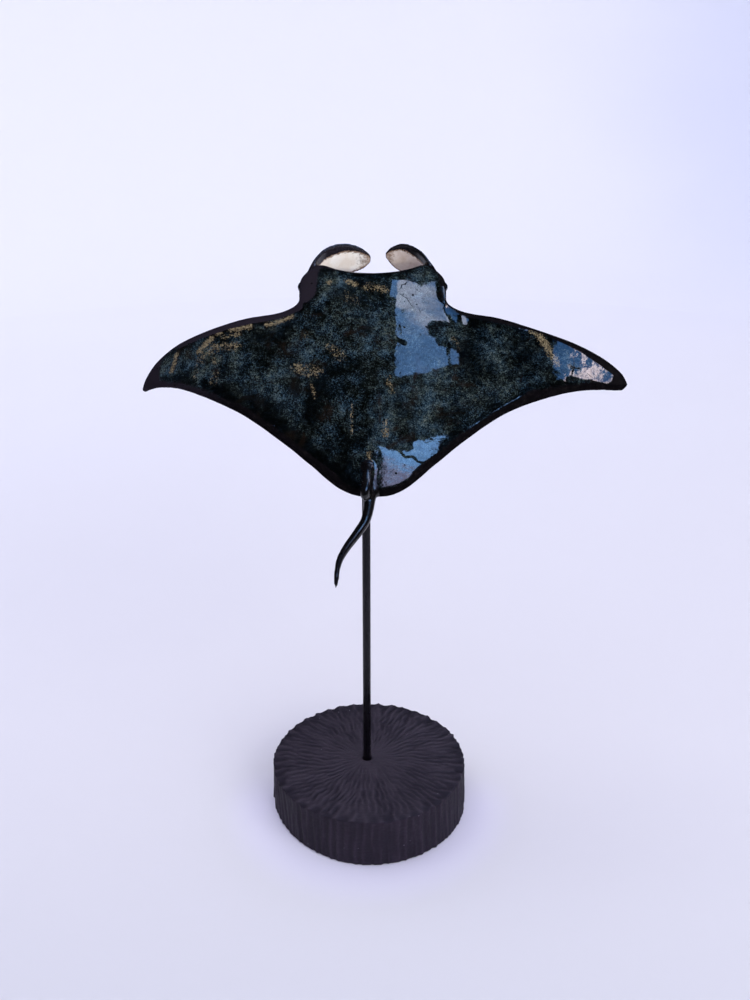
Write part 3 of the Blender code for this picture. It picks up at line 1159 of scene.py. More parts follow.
@dataclass(frozen=True)
class FinForm:
    """The small back fin: a rounded blade over the root of the tail."""

    profile: tuple[Place, ...] = (
        (-1.9, -35.5, 1.0),
        (-2.0, -41.0, 6.4),
        (-2.3, -47.0, 9.2),
        (-2.8, -52.5, 10.0),
        (-3.3, -56.8, 8.8),
        (-3.4, -57.8, 6.0),
        (-3.1, -54.5, 2.0),
    )
    half_thickness: float = 2.0
    side_size: float = 0.66
    slices: int = 18
    steps: int = 9

    def rings(self) -> np.ndarray:
        """Repeats the blade's outline from its left face to its right one.

        Returns:
            Points in the figure's frame, as rings by points by x, y, z.
        """
        outline = np.array([along(self.profile, place) for place in places(self.profile, self.steps)])
        centre = outline.mean(axis=0)
        rings = []
        for turn in (math.pi * i / self.slices for i in range(self.slices + 1)):
            size = self.side_size + (1 - self.side_size) * math.sin(turn)
            offset = (-math.cos(turn) * self.half_thickness, 0, 0)
            rings.append(centre + (outline - centre) * size + offset)
        return np.array(rings)


@dataclass(frozen=True)
class TailForm:
    """The tail: a short tapering whip that swings to the ray's left."""

    # x, y, z and radius, from root to tip
    rows: tuple[tuple[float, float, float, float], ...] = (
        (-0.4, -47.0, 0.2, 2.9),
        (-1.1, -53.5, 0.4, 2.8),
        (-1.9, -60.0, 0.5, 2.4),
        (-3.2, -65.2, 0.5, 2.15),
        (-6.8, -71.0, 0.2, 2.1),
        (-11.0, -76.8, -0.4, 1.9),
        (-13.9, -82.0, -1.2, 1.6),
        (-15.0, -87.0, -2.0, 1.3),
        (-15.3, -91.0, -2.7, 1.1),
        (-15.6, -93.8, -3.1, 0.5),
    )
    steps: int = 10
    around: int = 32

    def rings(self) -> np.ndarray:
        """Draws round rings square to the tail's middle line.

        Returns:
            Points in the figure's frame, as rings by points by x, y, z.
        """
        turn = full_turn(self.around)
        rings = []
        for place in places(self.rows, self.steps):
            *middle, radius = along(self.rows, place)
            upright, across = square_to(self.rows, place)
            rings.append(middle + radius * (np.outer(np.cos(turn), upright) + np.outer(np.sin(turn), across)))
        return np.array(rings)


@dataclass(frozen=True)
class Stroke:
    """A straight brush mark or press on the flat figure, in millimetres."""

    x: float  # where it starts
    y: float
    end_x: float
    end_y: float
    half_width: float
    strength: float = 1.0

    def amount(self, flat: np.ndarray) -> np.ndarray:
        """Works out how strong the stroke is at some points.

        Args:
            flat: Rows of x, y, z on the flat figure.

        Returns:
            The stroke's strength at each point.
        """
        start = np.array((self.x, self.y))
        way = np.array((self.end_x, self.end_y)) - start
        share = np.clip((flat[:, :2] - start) @ way / max(way @ way, 1e-9), 0, 1)
        gap = np.linalg.norm(flat[:, :2] - start - share[:, None] * way, axis=1)
        return self.strength * np.exp(-((gap / self.half_width) ** 2))


def most(strokes: Sequence[Stroke], flat: np.ndarray) -> np.ndarray:
    """How strong the strongest of some strokes is at flat points."""
    return np.max([stroke.amount(flat) for stroke in strokes], axis=0)


@dataclass
class Skin:
    """The whole ceramic figure as one fired skin, apart from its eyes."""

    pose: Pose = field(default_factory=Pose)
    body: BodyForm = field(default_factory=BodyForm)
    lobes: tuple[LobeForm, ...] = (
        LobeForm(
            Side.LEFT,
            (
                (30.2, 51.0, -0.4, 4.2, 0),
                (29.2, 56.2, -0.5, 5.0, 4),
                (26.4, 61.2, -0.7, 6.2, 12),
                (22.0, 64.8, -1.0, 7.4, 21),
                (16.4, 66.5, -1.3, 8.1, 27),
                (10.5, 67.0, -1.5, 7.5, 30),
                (5.4, 66.9, -1.5, 5.6, 30),
                (1.9, 66.8, -1.5, 2.8, 30),
                (0.9, 66.8, -1.5, 1.0, 30),
            ),
            band_start=-0.05,
            band_most=0.68,
        ),
        LobeForm(
            Side.RIGHT,
            (
                (30.2, 51.0, -0.4, 4.2, 0),
                (28.9, 56.0, -0.5, 5.0, 4),
                (25.7, 60.2, -0.7, 6.2, 12),
                (21.8, 63.8, -1.0, 7.3, 21),
                (17.4, 66.2, -1.3, 7.8, 27),
                (13.0, 67.8, -1.5, 7.2, 30),
                (9.4, 68.6, -1.5, 5.2, 30),
                (7.0, 68.8, -1.5, 2.6, 30),
                (6.0, 68.8, -1.5, 1.0, 30),
            ),
            band_start=0.0,
            band_most=0.62,
        ),
    )
    fin: FinForm = field(default_factory=FinForm)
    tail: TailForm = field(default_factory=TailForm)
    mouth_half: Place = (21, 9, 2.6)
    mouth_centre: Place = (0, 60.5, -1.6)
    lid_place: Place = (32.2, 50.8, -0.5)
    lid_radius: float = 3.2
    lid_thickness: float = 0.85
    voxel: float = 0.7
    gills: int = 5  # slits on each side of the belly
    gill_middle: tuple[float, float] = (18.5, 36)  # the first one's middle, out and forward
    gill_step: tuple[float, float] = (-1.1, -7.2)  # from each one to the next
    gill_reach: tuple[float, float] = (6.6, -2.2)  # from the first one's middle to its outer end
    gill_shrink: float = 0.7  # how much less far out each one reaches than the one before
    gill_half_width: float = 1.0
    gill_depth: float = 1.2
    gold: tuple[Stroke, ...] = (
        Stroke(-92.3, 21, -95, 13, 1.5, 0.85), Stroke(-73.5, 24.5, -79, 19, 1.7, 0.9),
        Stroke(-71, 26, -69, 26.5, 1.2, 0.7), Stroke(-64.5, 27.5, -55.5, 28.5, 1.5, 0.9),
        Stroke(-67.5, 24, -60, 24.5, 1.6, 0.55), Stroke(-48, 29, -37, 31.5, 1.4, 0.85),
        Stroke(-62, 18.5, -72, 19.5, 2.8, 0.44), Stroke(-72, 19, -78.5, 13.5, 3.0, 0.38),
        Stroke(-78.5, 13.5, -81, 7, 2.6, 0.28), Stroke(-70, 12, -71, 3, 4.5, 0.24),
        Stroke(-34, 5.5, -25, 3, 3.4, 0.42), Stroke(-27.5, -2, -25, -10, 1.0, 0.4),
        Stroke(-19.5, 48, -19.5, 48, 1.5, 0.85), Stroke(-11.5, 48.5, -8, 46.5, 1.5, 0.75),
        Stroke(-2.5, 45, 5, 43, 2.8, 0.5), Stroke(-12, 40, -8, 37, 4.0, 0.25),
        Stroke(-20, 14, -14, 9, 3.0, 0.4), Stroke(-30, 22, -28, 20, 4.0, 0.2),
        Stroke(6.5, -1.5, 8.5, -8, 1.6, 0.42), Stroke(5.5, -22, 5.5, -28, 1.6, 0.5),
        Stroke(-1.5, -36.5, -1.5, -39, 1.5, 0.7), Stroke(-9, -14, -9, -27, 0.9, 0.35),
        Stroke(36, 21, 38, 16, 2.2, 0.3), Stroke(71.5, 26, 76, 22.5, 1.2, 0.7),
        Stroke(75.5, 23, 83, 10, 2.1, 0.8), Stroke(16, -45, 21, -42, 3.0, 0.25),
        Stroke(-18, 57.2, 18, 57.2, 0.8, 0.4),
    )
    pools: tuple[Stroke, ...] = (
        Stroke(68.5, 14, 68.5, 14, 5.5), Stroke(-15, 42, -9, 38, 5.5, 0.9),
        Stroke(-53, 22, -42, 25, 5.0, 0.9), Stroke(-38.5, 29.5, -38.5, 29.5, 4.5),
        Stroke(-24, -2, -28, -18, 4.5, 0.95), Stroke(-13, -45, -27, -35, 6.5, 0.85),
        Stroke(-35, 14, -34.5, -20, 4.6, 0.55), Stroke(-6, 1, 2, 1, 4.5, 0.5),
        Stroke(-40, -14, -66, -2, 4.5, 0.8), Stroke(42, 16, 46, 4, 6.0, 0.85),
        Stroke(30, -20, 54, -6, 4.0, 0.7), Stroke(-5, 34, -1, 22, 6.5, 0.65),
        Stroke(12, -12, 16, -18, 5.0, 0.6),
    )
    # hollows, below 0, and lumps that the maker's hands left in the back: how high each is, in millimetres
    presses: tuple[Stroke, ...] = (
        Stroke(-60, 14.5, -60, 14.5, 4, -0.8), Stroke(9, 48, 9, 34, 6, 1.1),
        Stroke(9, 28, 9, 8, 6, 0.15), Stroke(16, 38, 16, 30, 7, -0.15),
        Stroke(23, 46, 24, 32, 6, -0.55), Stroke(24, 24, 25, 12, 7, 0.25),
        Stroke(31, 44, 32, 30, 6, -0.8), Stroke(40, 34, 42, 26, 7, -0.95),
        Stroke(55, 24, 54, 2, 11, 0.45), Stroke(68, 24, 67, 2, 11, 0.15),
        Stroke(80, 22, 79, 2, 13, 2.4), Stroke(92, 18, 91, 3, 10, 0.5),
        Stroke(8, -8, 8, -24, 8, -0.1), Stroke(22, -28, 32, -22, 7, 0.25),
    )
    # where the rim's smooth dark glaze, with its painted grey sheen at the left front, reaches further in
    smooth: tuple[Stroke, ...] = (
        Stroke(-30, 60, -31, 44, 6.5), Stroke(-34, 36, -90, 26, 2.6),
        Stroke(-110, 20, -111, 6, 7.6), Stroke(-18, -47, -60, -14, 3.4),
        Stroke(22, -46, 72, -8, 5.0), Stroke(72, -8, 104, 2, 3.2),
        Stroke(118, 14, 116, 4, 6.0), Stroke(38, 38, 84, 26, 3.0),
        Stroke(84, 25.5, 100, 21, 4.0), Stroke(100, 21, 116, 12.5, 4.4),
        Stroke(33, 54, 34, 42, 2.5),
    )
    # where the glaze is too thin to mirror the windows
    dry: tuple[Stroke, ...] = (
        Stroke(29.5, 24.5, 44, 22, 4.6, 1.4), Stroke(32, 19.5, 42, 18, 3.8, 1.4),
        Stroke(40, 20, 44, 13, 5.0, 1.3), Stroke(9.5, 17.5, 14, 15.5, 1.2, 1.3),
        Stroke(42.5, 10, 41, -4, 4.2, 1.3), Stroke(52, 30, 62, 27, 4.4, 1.3),
        Stroke(39, 27, 46, 26, 2.6, 1.2), Stroke(46.5, 33, 46.5, 26, 3.0, 1.2),
        Stroke(54, 12, 60, 12, 15, 1.5), Stroke(75.5, 24, 74, 2, 5.6, 1.5),
        Stroke(10, -8, 24, -4.5, 6.0, 1.6), Stroke(24, -4.5, 38, 1.5, 6.0, 1.6),
        Stroke(28, -10, 40, -6, 6.0, 1.6), Stroke(6, 55, 33, 55, 5.6, 1.3),
        Stroke(33.5, 54, 33.5, 47, 2.6), Stroke(118, 14, 115, 6, 5.0),
        Stroke(88, 2.5, 102, 3.5, 2.4), Stroke(-22, 57.5, 24, 57.5, 2.6),
        Stroke(2, -21, 25, -18.5, 7.5, 1.8), Stroke(2, -29.5, 8, -30.5, 3.2, 1.2),
        Stroke(8, -30.3, 14, -31, 3.2, 1.2), Stroke(14, -28.5, 20, -26, 3.2, 1.2),
        Stroke(35, -33, 60, -18, 7.0), Stroke(36, -24, 40, -28, 4.5, 1.4),
        Stroke(11.5, -34.5, 14, -37, 0.5), Stroke(14, -37, 17.5, -36.8, 0.5),
        Stroke(17.5, -36.8, 19.5, -38.8, 0.5), Stroke(19.5, -38.8, 24.5, -39.5, 0.5),
    )
    # where the rim is as glossy as the rest
    wet: tuple[Stroke, ...] = (Stroke(31, 44, 35, 35, 3.2),)
    craze: tuple[Stroke, ...] = (
        Stroke(12, 34, 18, 20, 7.0), Stroke(14, 47, 28, 42, 4.0),
        Stroke(10, -36, 24, -36, 6.0), Stroke(90, 8, 100, 12, 5.0),
    )

    def build(self) -> Piece:
        """Lofts the parts, fires them into one skin, works it over and paints its maps.

        Returns:
            The finished skin.
        """
        body = Bench.loft("manta_skin", self.pose.out(self.body.rings()))
        self.cut_mouth(body)
        forms = {f"lobe_{lobe.side.name.lower()}_clay": lobe.rings()[0] for lobe in self.lobes}
        forms.update(fin_clay=self.fin.rings(), tail_clay=self.tail.rings())
        parts = [body] + [Bench.loft(label, self.pose.out(rings)) for label, rings in forms.items()]
        skin = Bench.join(parts + [self.lid(side) for side in Side], "manta_skin")
        Bench.modify(skin, "REMESH", mode="VOXEL", voxel_size=self.voxel * MM, use_smooth_shade=True)
        Bench.modify(skin, "SMOOTH", factor=0.5, iterations=5)
        self.work_over(skin)
        self.carve(skin)
        self.paint(skin)
        return skin

    def cut_mouth(self, body: Piece) -> None:
        """Cuts the slot of the mouth out of the head's front edge.

        Args:
            body: The piece that it is cut from.
        """
        sphere = bpy.ops.mesh.primitive_uv_sphere_add
        cutter = Bench.add(sphere, "mouth_cutter", segments=64, ring_count=32, radius=1)
        shape = Matrix.Translation(self.mouth_centre) @ Matrix.Diagonal((*self.mouth_half, 1))
        cutter.data.transform(self.pose.matrix() @ shape)
        Bench.modify(body, "BOOLEAN", operation="DIFFERENCE", object=cutter, solver="EXACT")
        bpy.data.objects.remove(cutter, do_unlink=True)

    def lid(self, side: Side) -> Piece:
        """Shapes a low ring of clay round an eye.

        Args:
            side: Which eye.

        Returns:
            The ring.
        """
        ring = Bench.add(
            bpy.ops.mesh.primitive_torus_add,
            f"lid_{side.name.lower()}",
            major_segments=48,
            minor_segments=16,
            major_radius=self.lid_radius,
            minor_radius=self.lid_thickness,
        )
        upright = Matrix.Rotation(math.pi / 2, 4, "Y")
        ring.data.transform(self.pose.matrix() @ side.shift(self.lid_place) @ upright)
        return ring

    def work_over(self, skin: Piece) -> None:
        """Leaves the slight unevenness of hand work: long waves, finger marks and a pitted surface."""
        for label, size, strength in (("waves", 26, 0.4), ("finger_marks", 9, 0.12), ("pitting", 3.2, 0.04)):
            texture = bpy.data.textures.new(label, "CLOUDS")
            texture.noise_scale = size * MM
            texture.noise_depth = 1
            Bench.modify(skin, "DISPLACE", texture=texture, strength=strength * MM, mid_level=0.5)

    def carve(self, skin: Piece) -> None:
        """Presses hollows and lumps into the back, and cuts the gill slits into the belly.

        Args:
            skin: The fired skin.
        """
        points = Bench.read(skin, "co")
        flat = self.body.unbent(self.pose.back(points))
        back = smoothstep(0.5, 2.5, flat[:, 2]) * smoothstep(0, 4, self.body.rim_gap(flat))
        height = back * sum(press.amount(flat) for press in self.presses)
        height -= self.gill_depth * smoothstep(-0.5, -2.5, flat[:, 2]) * self.gill_cuts(flat)
        Bench.move(skin, points + Bench.read(skin, "normal") * (height * MM)[:, None])

    def gill_cuts(self, flat: np.ndarray) -> np.ndarray:
        """Finds how deep the gill slits are.

        Args:
            flat: Rows of x, y, z on the flat figure.

        Returns:
            Each point's depth, from 0 to 1.
        """
        slits = []
        for i in range(self.gills):
            out, y = np.array(self.gill_middle) + i * np.array(self.gill_step)
            reach, rise = self.gill_reach[0] - i * self.gill_shrink, self.gill_reach[1]
            for sign in (side.value for side in Side):
                ends = (sign * (out - reach), y - rise, sign * (out + reach), y + rise)
                slits.append(Stroke(*ends, self.gill_half_width))
        return most(slits, flat)

    def paint(self, skin: Piece) -> None:
        """Paints the maps that the glaze reads.

        Args:
            skin: The carved skin.
        """
        points = self.pose.back(Bench.read(skin, "co"))
        flat = self.body.unbent(points)
        cream, limbs = self.limb_maps(points)
        wider = smoothstep(0.12, 0.75, most(self.smooth, flat))
        rim = self.body.rim_gap(flat) * (1 - wider) * (1 - limbs)
        belly = smoothstep(0.3, -0.8, flat[:, 2]) * (1 - limbs)
        back = 1 - belly
        dull = np.maximum(most(self.dry, flat) * back, smoothstep(4.2, 1.2, rim) * 0.8)
        maps = {
            Paint.RIM: rim,
            Paint.BELLY: belly,
            Paint.CREAM: cream,
            Paint.GOLD: most(self.gold, flat) * back,
            # the back's pools of dark glaze, and painted shade in the gill slits
            Paint.POOL: most(self.pools, flat) * back + self.gill_cuts(flat) * belly,
            Paint.DRY: dull * (1 - most(self.wet, flat)) * (1 - limbs),
            Paint.CRAZE: most(self.craze, flat) * back,
            # painted shade over the right lobe's cream
            Paint.THIN: cream * smoothstep(2, 5, points[:, 0]),
        }
        for paint, values in maps.items():
            Bench.paint(skin, paint, values)

    def limb_maps(self, points: np.ndarray) -> tuple[np.ndarray, np.ndarray]:
        """Finds what of the skin lies on the lobes, fin and tail.

        Args:
            points: The skin's points in the figure's frame.

        Returns:
            How much cream each point has, and how much it belongs to a limb.
        """
        made = [lobe.rings() for lobe in self.lobes]
        for rings in (self.fin.rings(), self.tail.rings()):
            made.append((rings, np.zeros(rings.shape[:2])))
        sources = np.concatenate([rings.reshape(-1, 3) for rings, _ in made])
        amounts = np.concatenate([amount.ravel() for _, amount in made])
        numbers, gaps = nearest(sources, points)
        limb = smoothstep(1.6, 0.8, gaps)
        return amounts[numbers] * limb, limb


@dataclass
class Eye:
    """One glassy eye: a ball with a raised round pupil."""

    side: Side
    pose: Pose = field(default_factory=Pose)
    place: Place = (32.0, 50.8, -0.5)
    radius: float = 2.85
    pupil: float = 0.82  # how far out of the ball's radius the pupil's edge lies

    def build(self) -> Piece:
        """Shapes the ball, insets its pupil and raises it.

        Returns:
            The eye.
        """
        label = f"{self.side.name.lower()}_eye"
        sphere = bpy.ops.mesh.primitive_uv_sphere_add
        eye = Bench.add(sphere, label, segments=48, ring_count=32, radius=self.radius)
        for face in eye.data.polygons:
            face.select = face.normal.z > self.pupil
        bpy.ops.object.mode_set(mode="EDIT")
        bpy.ops.mesh.select_mode(type="FACE")
        bpy.ops.mesh.inset(thickness=0.18, depth=-0.14)
        bpy.ops.mesh.inset(thickness=0.12, depth=0.2)
        bpy.ops.object.mode_set(mode="OBJECT")
        outwards = Matrix.Rotation(self.side.value * math.pi / 2, 4, "Y")
        eye.data.transform(self.pose.matrix() @ self.side.shift(self.place) @ outwards)
        eye.data.shade_smooth()
        return eye


# ---------------------------------------------------------------- the stand


@dataclass
class Rod:
    """The thin rod from the base up into the figure's belly."""

    sides: int = 64
    chamfer: float = 0.35

    def build(self) -> Piece:
        """Adds the rod where its node is, and breaks the edges of its ends.

        Returns:
            The rod.
        """
        low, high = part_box("stand_rod")
        rod = Bench.add(
            bpy.ops.mesh.primitive_cylinder_add,
            "steel_rod",
            vertices=self.sides,
            radius=(high.x - low.x) / 2,
            depth=high.z - low.z,
            location=(low + high) / 2,
        )
        bpy.ops.object.transform_apply(location=True, rotation=True, scale=True)
        corner = {"limit_method": "ANGLE", "angle_limit": math.radians(60)}
        Bench.modify(rod, "BEVEL", width=self.chamfer * MM, segments=2, **corner)
        bpy.ops.object.shade_smooth_by_angle(angle=math.radians(40))
        return rod


@dataclass(frozen=True)
class GougeRow:
    """One round of chisel cuts, side by side all the way round."""

    count: int
    start: float  # where the cuts begin, in millimetres out from the middle or up from the floor
    end: float
    depth: float
    wander: float  # how far the cuts stray sideways, in their own widths

    def cut(self, turn: np.ndarray, place: np.ndarray, seed: int) -> np.ndarray:
        """How deep the row cuts.

        Args:
            turn: The angle of each point round the base.
            place: How far each point is along the cuts.
            seed: Sets this row's own chance variation.

        Returns:
            The depth at each point, in millimetres.
        """
        chance = np.random.default_rng(seed)
        scale = chance.uniform(0.6, 1.25, self.count)
        shift = chance.uniform(-0.18, 0.18, (2, self.count)) * (self.end - self.start)
        stray = 1.6 * np.sin(place * 0.11 + 2.1 * np.sin(2 * turn + seed) + seed)
        stray += 0.5 * np.sin(place * 0.38 + 2.9 * np.sin(5 * turn - seed))
        lane = turn / (2 * np.pi) * self.count + self.wander * stray
        number = np.floor(lane).astype(int) % self.count
        across = 2 * (lane - np.floor(lane)) - 1
        first = self.start + shift[0][number]
        last = self.end + shift[1][number]
        t = np.clip((place - first) / (last - first), 0, 1)
        return self.depth * scale[number] * (1 - across**2) * (4 * t * (1 - t)) ** 0.6


def deepest(rows: Sequence[GougeRow], turn: np.ndarray, place: np.ndarray, seed: int) -> np.ndarray:
    """Finds how deep the deepest cut of some rows is.

    Args:
        rows: The rows of cuts.
        turn: The angle of each point round the base.
        place: How far each point is along the cuts.
        seed: The first row's seed, from which the others count on.

    Returns:
        The depth at each point, in millimetres.
    """
    return np.max([row.cut(turn, place, seed + i) for i, row in enumerate(rows)], axis=0)


@dataclass
class CarvedBase:
    """The turned block, gouged all over by hand: radial cuts on top and upright ones round its side."""

    radius: float = 50.4
    foot_radius: float = 51.3
    height: float = 27
    edge: float = 0.7
    hole_radius: float = 2.3
    hole_x: float = -0.9
    hole_foot: float = 8
    trim_depth: float = 2.2
    trim_turn: float = math.radians(-142)
    trim_width: float = math.radians(34)
    around: int = 600
    top_seed: int = 11
    side_seed: int = 30
    top_rows: tuple[GougeRow, ...] = (
        GougeRow(19, 3, 10, 0.22, 0.2),
        GougeRow(31, 7, 17, 0.34, 0.26),
        GougeRow(43, 12, 23, 0.45, 0.3),
        GougeRow(55, 18, 29, 0.54, 0.34),
        GougeRow(65, 23, 35, 0.58, 0.36),
        GougeRow(74, 29, 41, 0.62, 0.36),
        GougeRow(82, 35, 47, 0.66, 0.34),
        GougeRow(66, 40, 51, 0.7, 0.24),
        GougeRow(43, 44.5, 58, 1.05, 0.08),
    )
    side_rows: tuple[GougeRow, ...] = (
        GougeRow(74, -14, 42, 0.85, 0.06),
        GougeRow(90, 9, 31, 0.7, 0.1),
        GougeRow(104, -8, 19, 0.7, 0.1),
    )

    def profile(self) -> list[tuple[float, float, float]]:
        """The section from the middle of the underside, round the side and top, to the bottom of the hole.

        Returns:
            Rows of radius, height, and how much of the top's carving applies.
        """
        edge, top = self.edge, self.height
        rows = [(r, 0.0, 0.0) for r in (0, 12, 25, 38, 47, self.foot_radius - edge)]
        for z in np.linspace(edge, top - edge, 30):
            rows.append((self.foot_radius, z, float(smoothstep(18, 26, z))))
        for lean in (share * math.pi / 2 for share in (0.3, 0.6, 0.85)):
            rows.append((self.radius - edge * (1 - math.cos(lean)), top - edge * (1 - math.sin(lean)), 1.0))
        rows += [(r, top, 1.0) for r in np.linspace(self.radius - edge, 3.4, 64)]
        rows += [(2.7, top - 0.1, 1.0), (self.hole_radius, top - 0.5, 0.0)]
        rows += [(self.hole_radius, z, 0.0) for z in (20, 14, self.hole_foot)]
        return rows + [(0, self.hole_foot, 0.0)]

    def side_radius(self, turn: np.ndarray, height: float) -> tuple[np.ndarray, np.ndarray]:
        """Finds the side's radius at a height.

        Args:
            turn: Angles round the base.
            height: How far up, in millimetres.

        Returns:
            The radius at each angle, and how deep it is cut there.
        """
        low = 1 - height / self.height
        whole = self.radius + (self.foot_radius - self.radius) * low
        whole = whole - self.trim_depth * low * np.exp(-(((turn - self.trim_turn) / self.trim_width) ** 2))
        cut = deepest(self.side_rows, turn, np.full_like(turn, height), self.side_seed)
        return whole - cut, cut

    def build(self) -> Piece:
        """Turns the profile round the middle, cuts every gouge and marks how deep the wood is cut.

        Returns:
            The base.
        """
        turn = np.linspace(-np.pi, np.pi, self.around, endpoint=False)
        rings, cuts = [], []
        for radius, height, carving in self.profile():
            rim, side_cut = self.side_radius(turn, height)
            upright = height <= self.height - self.edge
            share = radius / (self.foot_radius if upright else self.radius)
            reach = rim * share if radius > self.hole_radius + 1 else np.full_like(turn, radius)
            middle = smoothstep(12, 3, radius) * self.hole_x
            top_cut = deepest(self.top_rows, turn, reach, self.top_seed)
            top_cut = top_cut * carving * smoothstep(2, 5, reach)
            x, y = reach * np.cos(turn) + middle, reach * np.sin(turn)
            rings.append(np.stack([x, y, height - top_cut], axis=-1))
            cuts.append(side_cut if upright else top_cut)
        base = Bench.loft("carved_base", np.array(rings) * MM)
        numbers = nearest(np.concatenate(rings), Bench.read(base, "co") / MM)[0]
        Bench.paint(base, Paint.CUT, np.concatenate(cuts)[numbers])
        base.data.shade_smooth()
        return base


# ---------------------------------------------------------------- the studio


FRONT_SKY = SkyGlow("front_glow", Axis.Y, 0.1, -0.45, 8.6, (0.54, 0.62, 0.84))
TOP_SKY = SkyGlow("front_top_glow", Axis.X, 0.42, 0.3, 7.6)
REAR_SKY = SkyGlow("rear_glow", Axis.Y, -1.40, -1.20, 6.6, (0.43, 0.46, 0.76), (0.35, 0.75, 1.5))
SIDE_SKY = SkyGlow("side_glow", Axis.X, 1.625, 1.55, 9.0, (1.28, 1.1, 1.2), (0.045, 0.135, 0.34))


@dataclass(frozen=True)
class WindowPane:
    """One pane of the high windows that the glaze mirrors: its corners in metres, and its glow."""

    label: str
    low: tuple[float, float]
    high: tuple[float, float]
    glow: SkyGlow

    def build(self, height: float) -> None:
        """Lays the pane level, so that only mirrored light shows it.

        Args:
            height: How high, in metres.
        """
        grid = bpy.ops.mesh.primitive_grid_add
        pane = Bench.add(grid, self.label, x_subdivisions=8, y_subdivisions=8, size=1)
        (x, y), (far_x, far_y) = self.low, self.high
        middle = Matrix.Translation(((x + far_x) / 2, (y + far_y) / 2, height))
        pane.data.transform(middle @ Matrix.Diagonal((far_x - x, y - far_y, -1, 1)))
        pane.data.materials.append(self.glow.material())
        pane.visible_camera = pane.visible_diffuse = pane.visible_shadow = False


class LampKind(Enum):
    """How a lamp throws its light."""

    PANEL = "AREA"
    BEAM = "SPOT"


@dataclass(frozen=True)
class Lamp:
    """A lamp that neither the camera nor the glaze sees."""

    label: str
    kind: LampKind
    place: Place  # where it hangs, in metres
    target: Place  # what it faces
    power: float  # in watts
    settings: dict[str, object]  # the lamp's own
    tint: Colour = (0.93, 1.0, 0.96)

    def build(self) -> None:
        """Hangs the lamp and turns it to its target."""
        bpy.ops.object.select_all(action="DESELECT")
        bpy.ops.object.light_add(type=self.kind.value, location=self.place)
        lamp = bpy.context.object
        lamp.name = self.label
        for label, value in {**self.settings, "energy": self.power, "color": self.tint}.items():
            setattr(lamp.data, label, value)
        lamp.rotation_euler = (Vector(self.target) - Vector(self.place)).to_track_quat("-Z", "Y").to_euler()
        lamp.visible_camera = lamp.visible_glossy = False


FIGURE, LOBE, BACKDROP = (0, 0, 0.15), (-0.016, 0.05, 0.279), (-0.35, 1.6, 0.3)
WIDE, SMALL = ({"shape": "SQUARE", "size": size} for size in (1.3, 0.9))
NARROW = {"spot_size": math.radians(7), "spot_blend": 0.9, "shadow_soft_size": 0.06}
LAMPS = (
    Lamp("front_soft_light", LampKind.PANEL, (1.05, -1.3, 0.95), FIGURE, 18.5, WIDE),
    Lamp("backdrop_light", LampKind.PANEL, (-0.7, 0.3, 1.9), BACKDROP, 6.0, SMALL),
    Lamp("lobe_light", LampKind.BEAM, (0.62, -0.9, 0.36), LOBE, 30, NARROW),
)


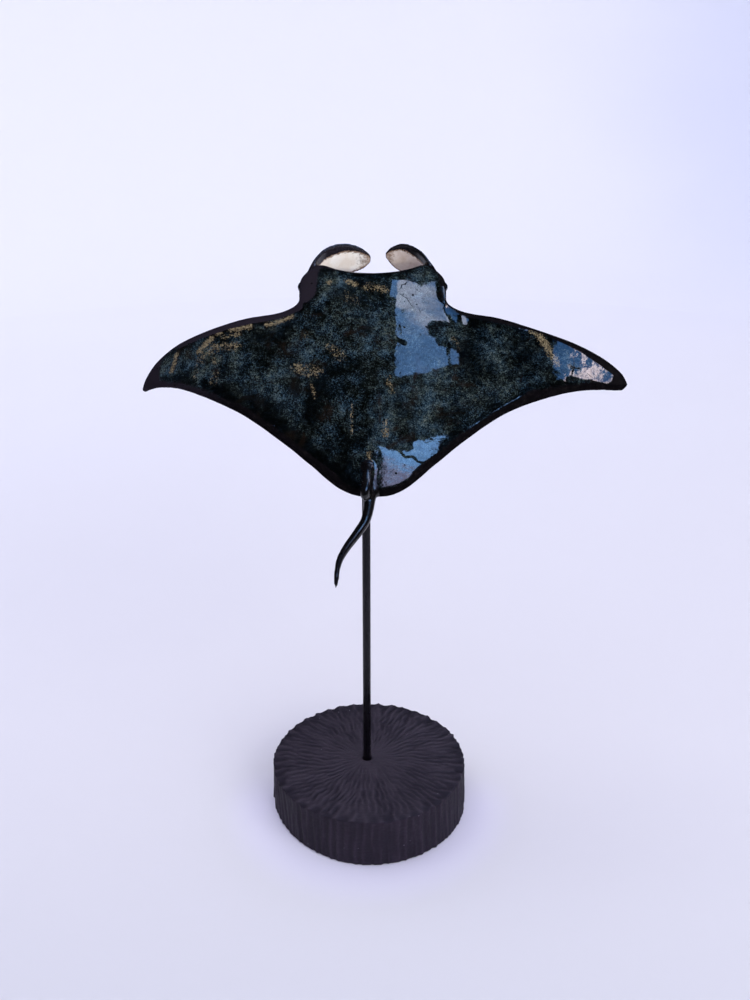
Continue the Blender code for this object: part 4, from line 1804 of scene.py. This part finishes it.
@dataclass
class Studio:
    """Pale paper under and round the piece, window panes overhead, soft light and the camera."""

    floor_radius: float = 1.1
    wall_rise: float = 0.9
    wall_height: float = 2.4
    paper_around: int = 96
    camera_place: Place = (0.00325, -0.4740, 0.3898)
    camera_down: float = math.radians(24.34)
    lens: float = 39.84
    room_tint: Colour = (0.785, 0.845, 1.10)
    room_light: float = 1.34
    window_height: float = 1.45
    panes: tuple[WindowPane, ...] = (
        WindowPane("front_pane", (0.42, -0.60), (0.72, 0.30), FRONT_SKY),
        WindowPane("front_top_pane", (0.03, 0.02), (0.42, 0.34), TOP_SKY),
        WindowPane("rear_pane", (0.12, -1.64), (0.95, -0.98), REAR_SKY),
        WindowPane("side_pane", (0.94, -0.30), (2.00, 0.45), SIDE_SKY),
    )

    def build(self) -> None:
        """Sets up the paper, the windows, the lamps, the room's light and the camera."""
        self.paper()
        for pane in self.panes:
            pane.build(self.window_height)
        for lamp in LAMPS:
            lamp.build()
        self.room()
        self.camera()

    def turned(self, label: str, profile: Sequence[tuple[float, float]]) -> Piece:
        """Turns an open profile round the middle, facing in and up.

        Args:
            label: The paper's name.
            profile: Rows of radius and height, in metres.

        Returns:
            The paper, which stays out of the parts library's pieces.
        """
        turn = full_turn(self.paper_around)
        circle = np.stack([np.cos(turn), np.sin(turn), np.ones_like(turn)], axis=-1)
        piece = Bench.drape(label, np.array([circle * (radius, radius, z) for radius, z in profile]))
        bpy.ops.object.mode_set(mode="EDIT")
        Bench.weld()
        bpy.ops.object.mode_set(mode="OBJECT")
        piece.data.shade_smooth()
        piece.data.materials.append(BackdropPaper().material())
        return piece

    def paper(self) -> None:
        """The floor, and the paper that sweeps up round it."""
        radius, rise = self.floor_radius, self.wall_rise
        self.turned("paper_floor", [(0, 0), (0.2, 0), (0.5, 0), (radius, 0)])
        turns = np.linspace(0, math.pi / 2, 14)
        sweep = [(radius + rise * math.sin(t), rise * (1 - math.cos(t))) for t in turns]
        wall = self.turned("paper_sweep", sweep + [(radius + rise, self.wall_height)])
        wall.visible_glossy = False

    def room(self) -> None:
        """The pale light of the room all round."""
        world = bpy.data.worlds.new("room")
        bpy.context.scene.world = world
        world.use_nodes = True
        inputs = world.node_tree.nodes["Background"].inputs
        inputs["Color"].default_value = (*self.room_tint, 1)
        inputs["Strength"].default_value = self.room_light
        world.cycles_visibility.glossy = False

    def camera(self) -> None:
        """The camera, a little above the figure and looking down."""
        bpy.ops.object.camera_add(location=self.camera_place, rotation=(math.pi / 2 - self.camera_down, 0, 0))
        camera = bpy.context.object
        camera.name = "camera"
        camera.data.lens = self.lens
        camera.data.sensor_width = 36
        camera.data.clip_start = 0.01
        bpy.context.scene.camera = camera
        bpy.context.scene.view_settings.view_transform = "Standard"


def main() -> None:
    """Builds every piece in order."""
    logging.basicConfig(level=logging.INFO, format="%(name)s: %(message)s")
    pose = Pose()
    Studio().build()
    skin = Skin(pose).build()
    glaze = FigureGlaze(turn=pose.nose_up, centre=pose.centre)
    flesh = ("head", "trunk", "wing_left", "wing_right", "lobe_left", "lobe_right", "dorsal_fin", "tail")
    Bench.dress(skin, glaze, "dark_glaze", *flesh)
    for side in Side:
        eye = Eye(side, pose).build()
        Bench.dress(eye, EyeGlaze(), "eye_glaze", f"eye_{side.name.lower()}")
    Bench.dress(Rod().build(), BlackenedSteel(), "blackened_steel", "stand_rod")
    Bench.dress(CarvedBase().build(), StainedWood(), "stained_wood", "stand_base")


if __name__ == "__main__":
    main()
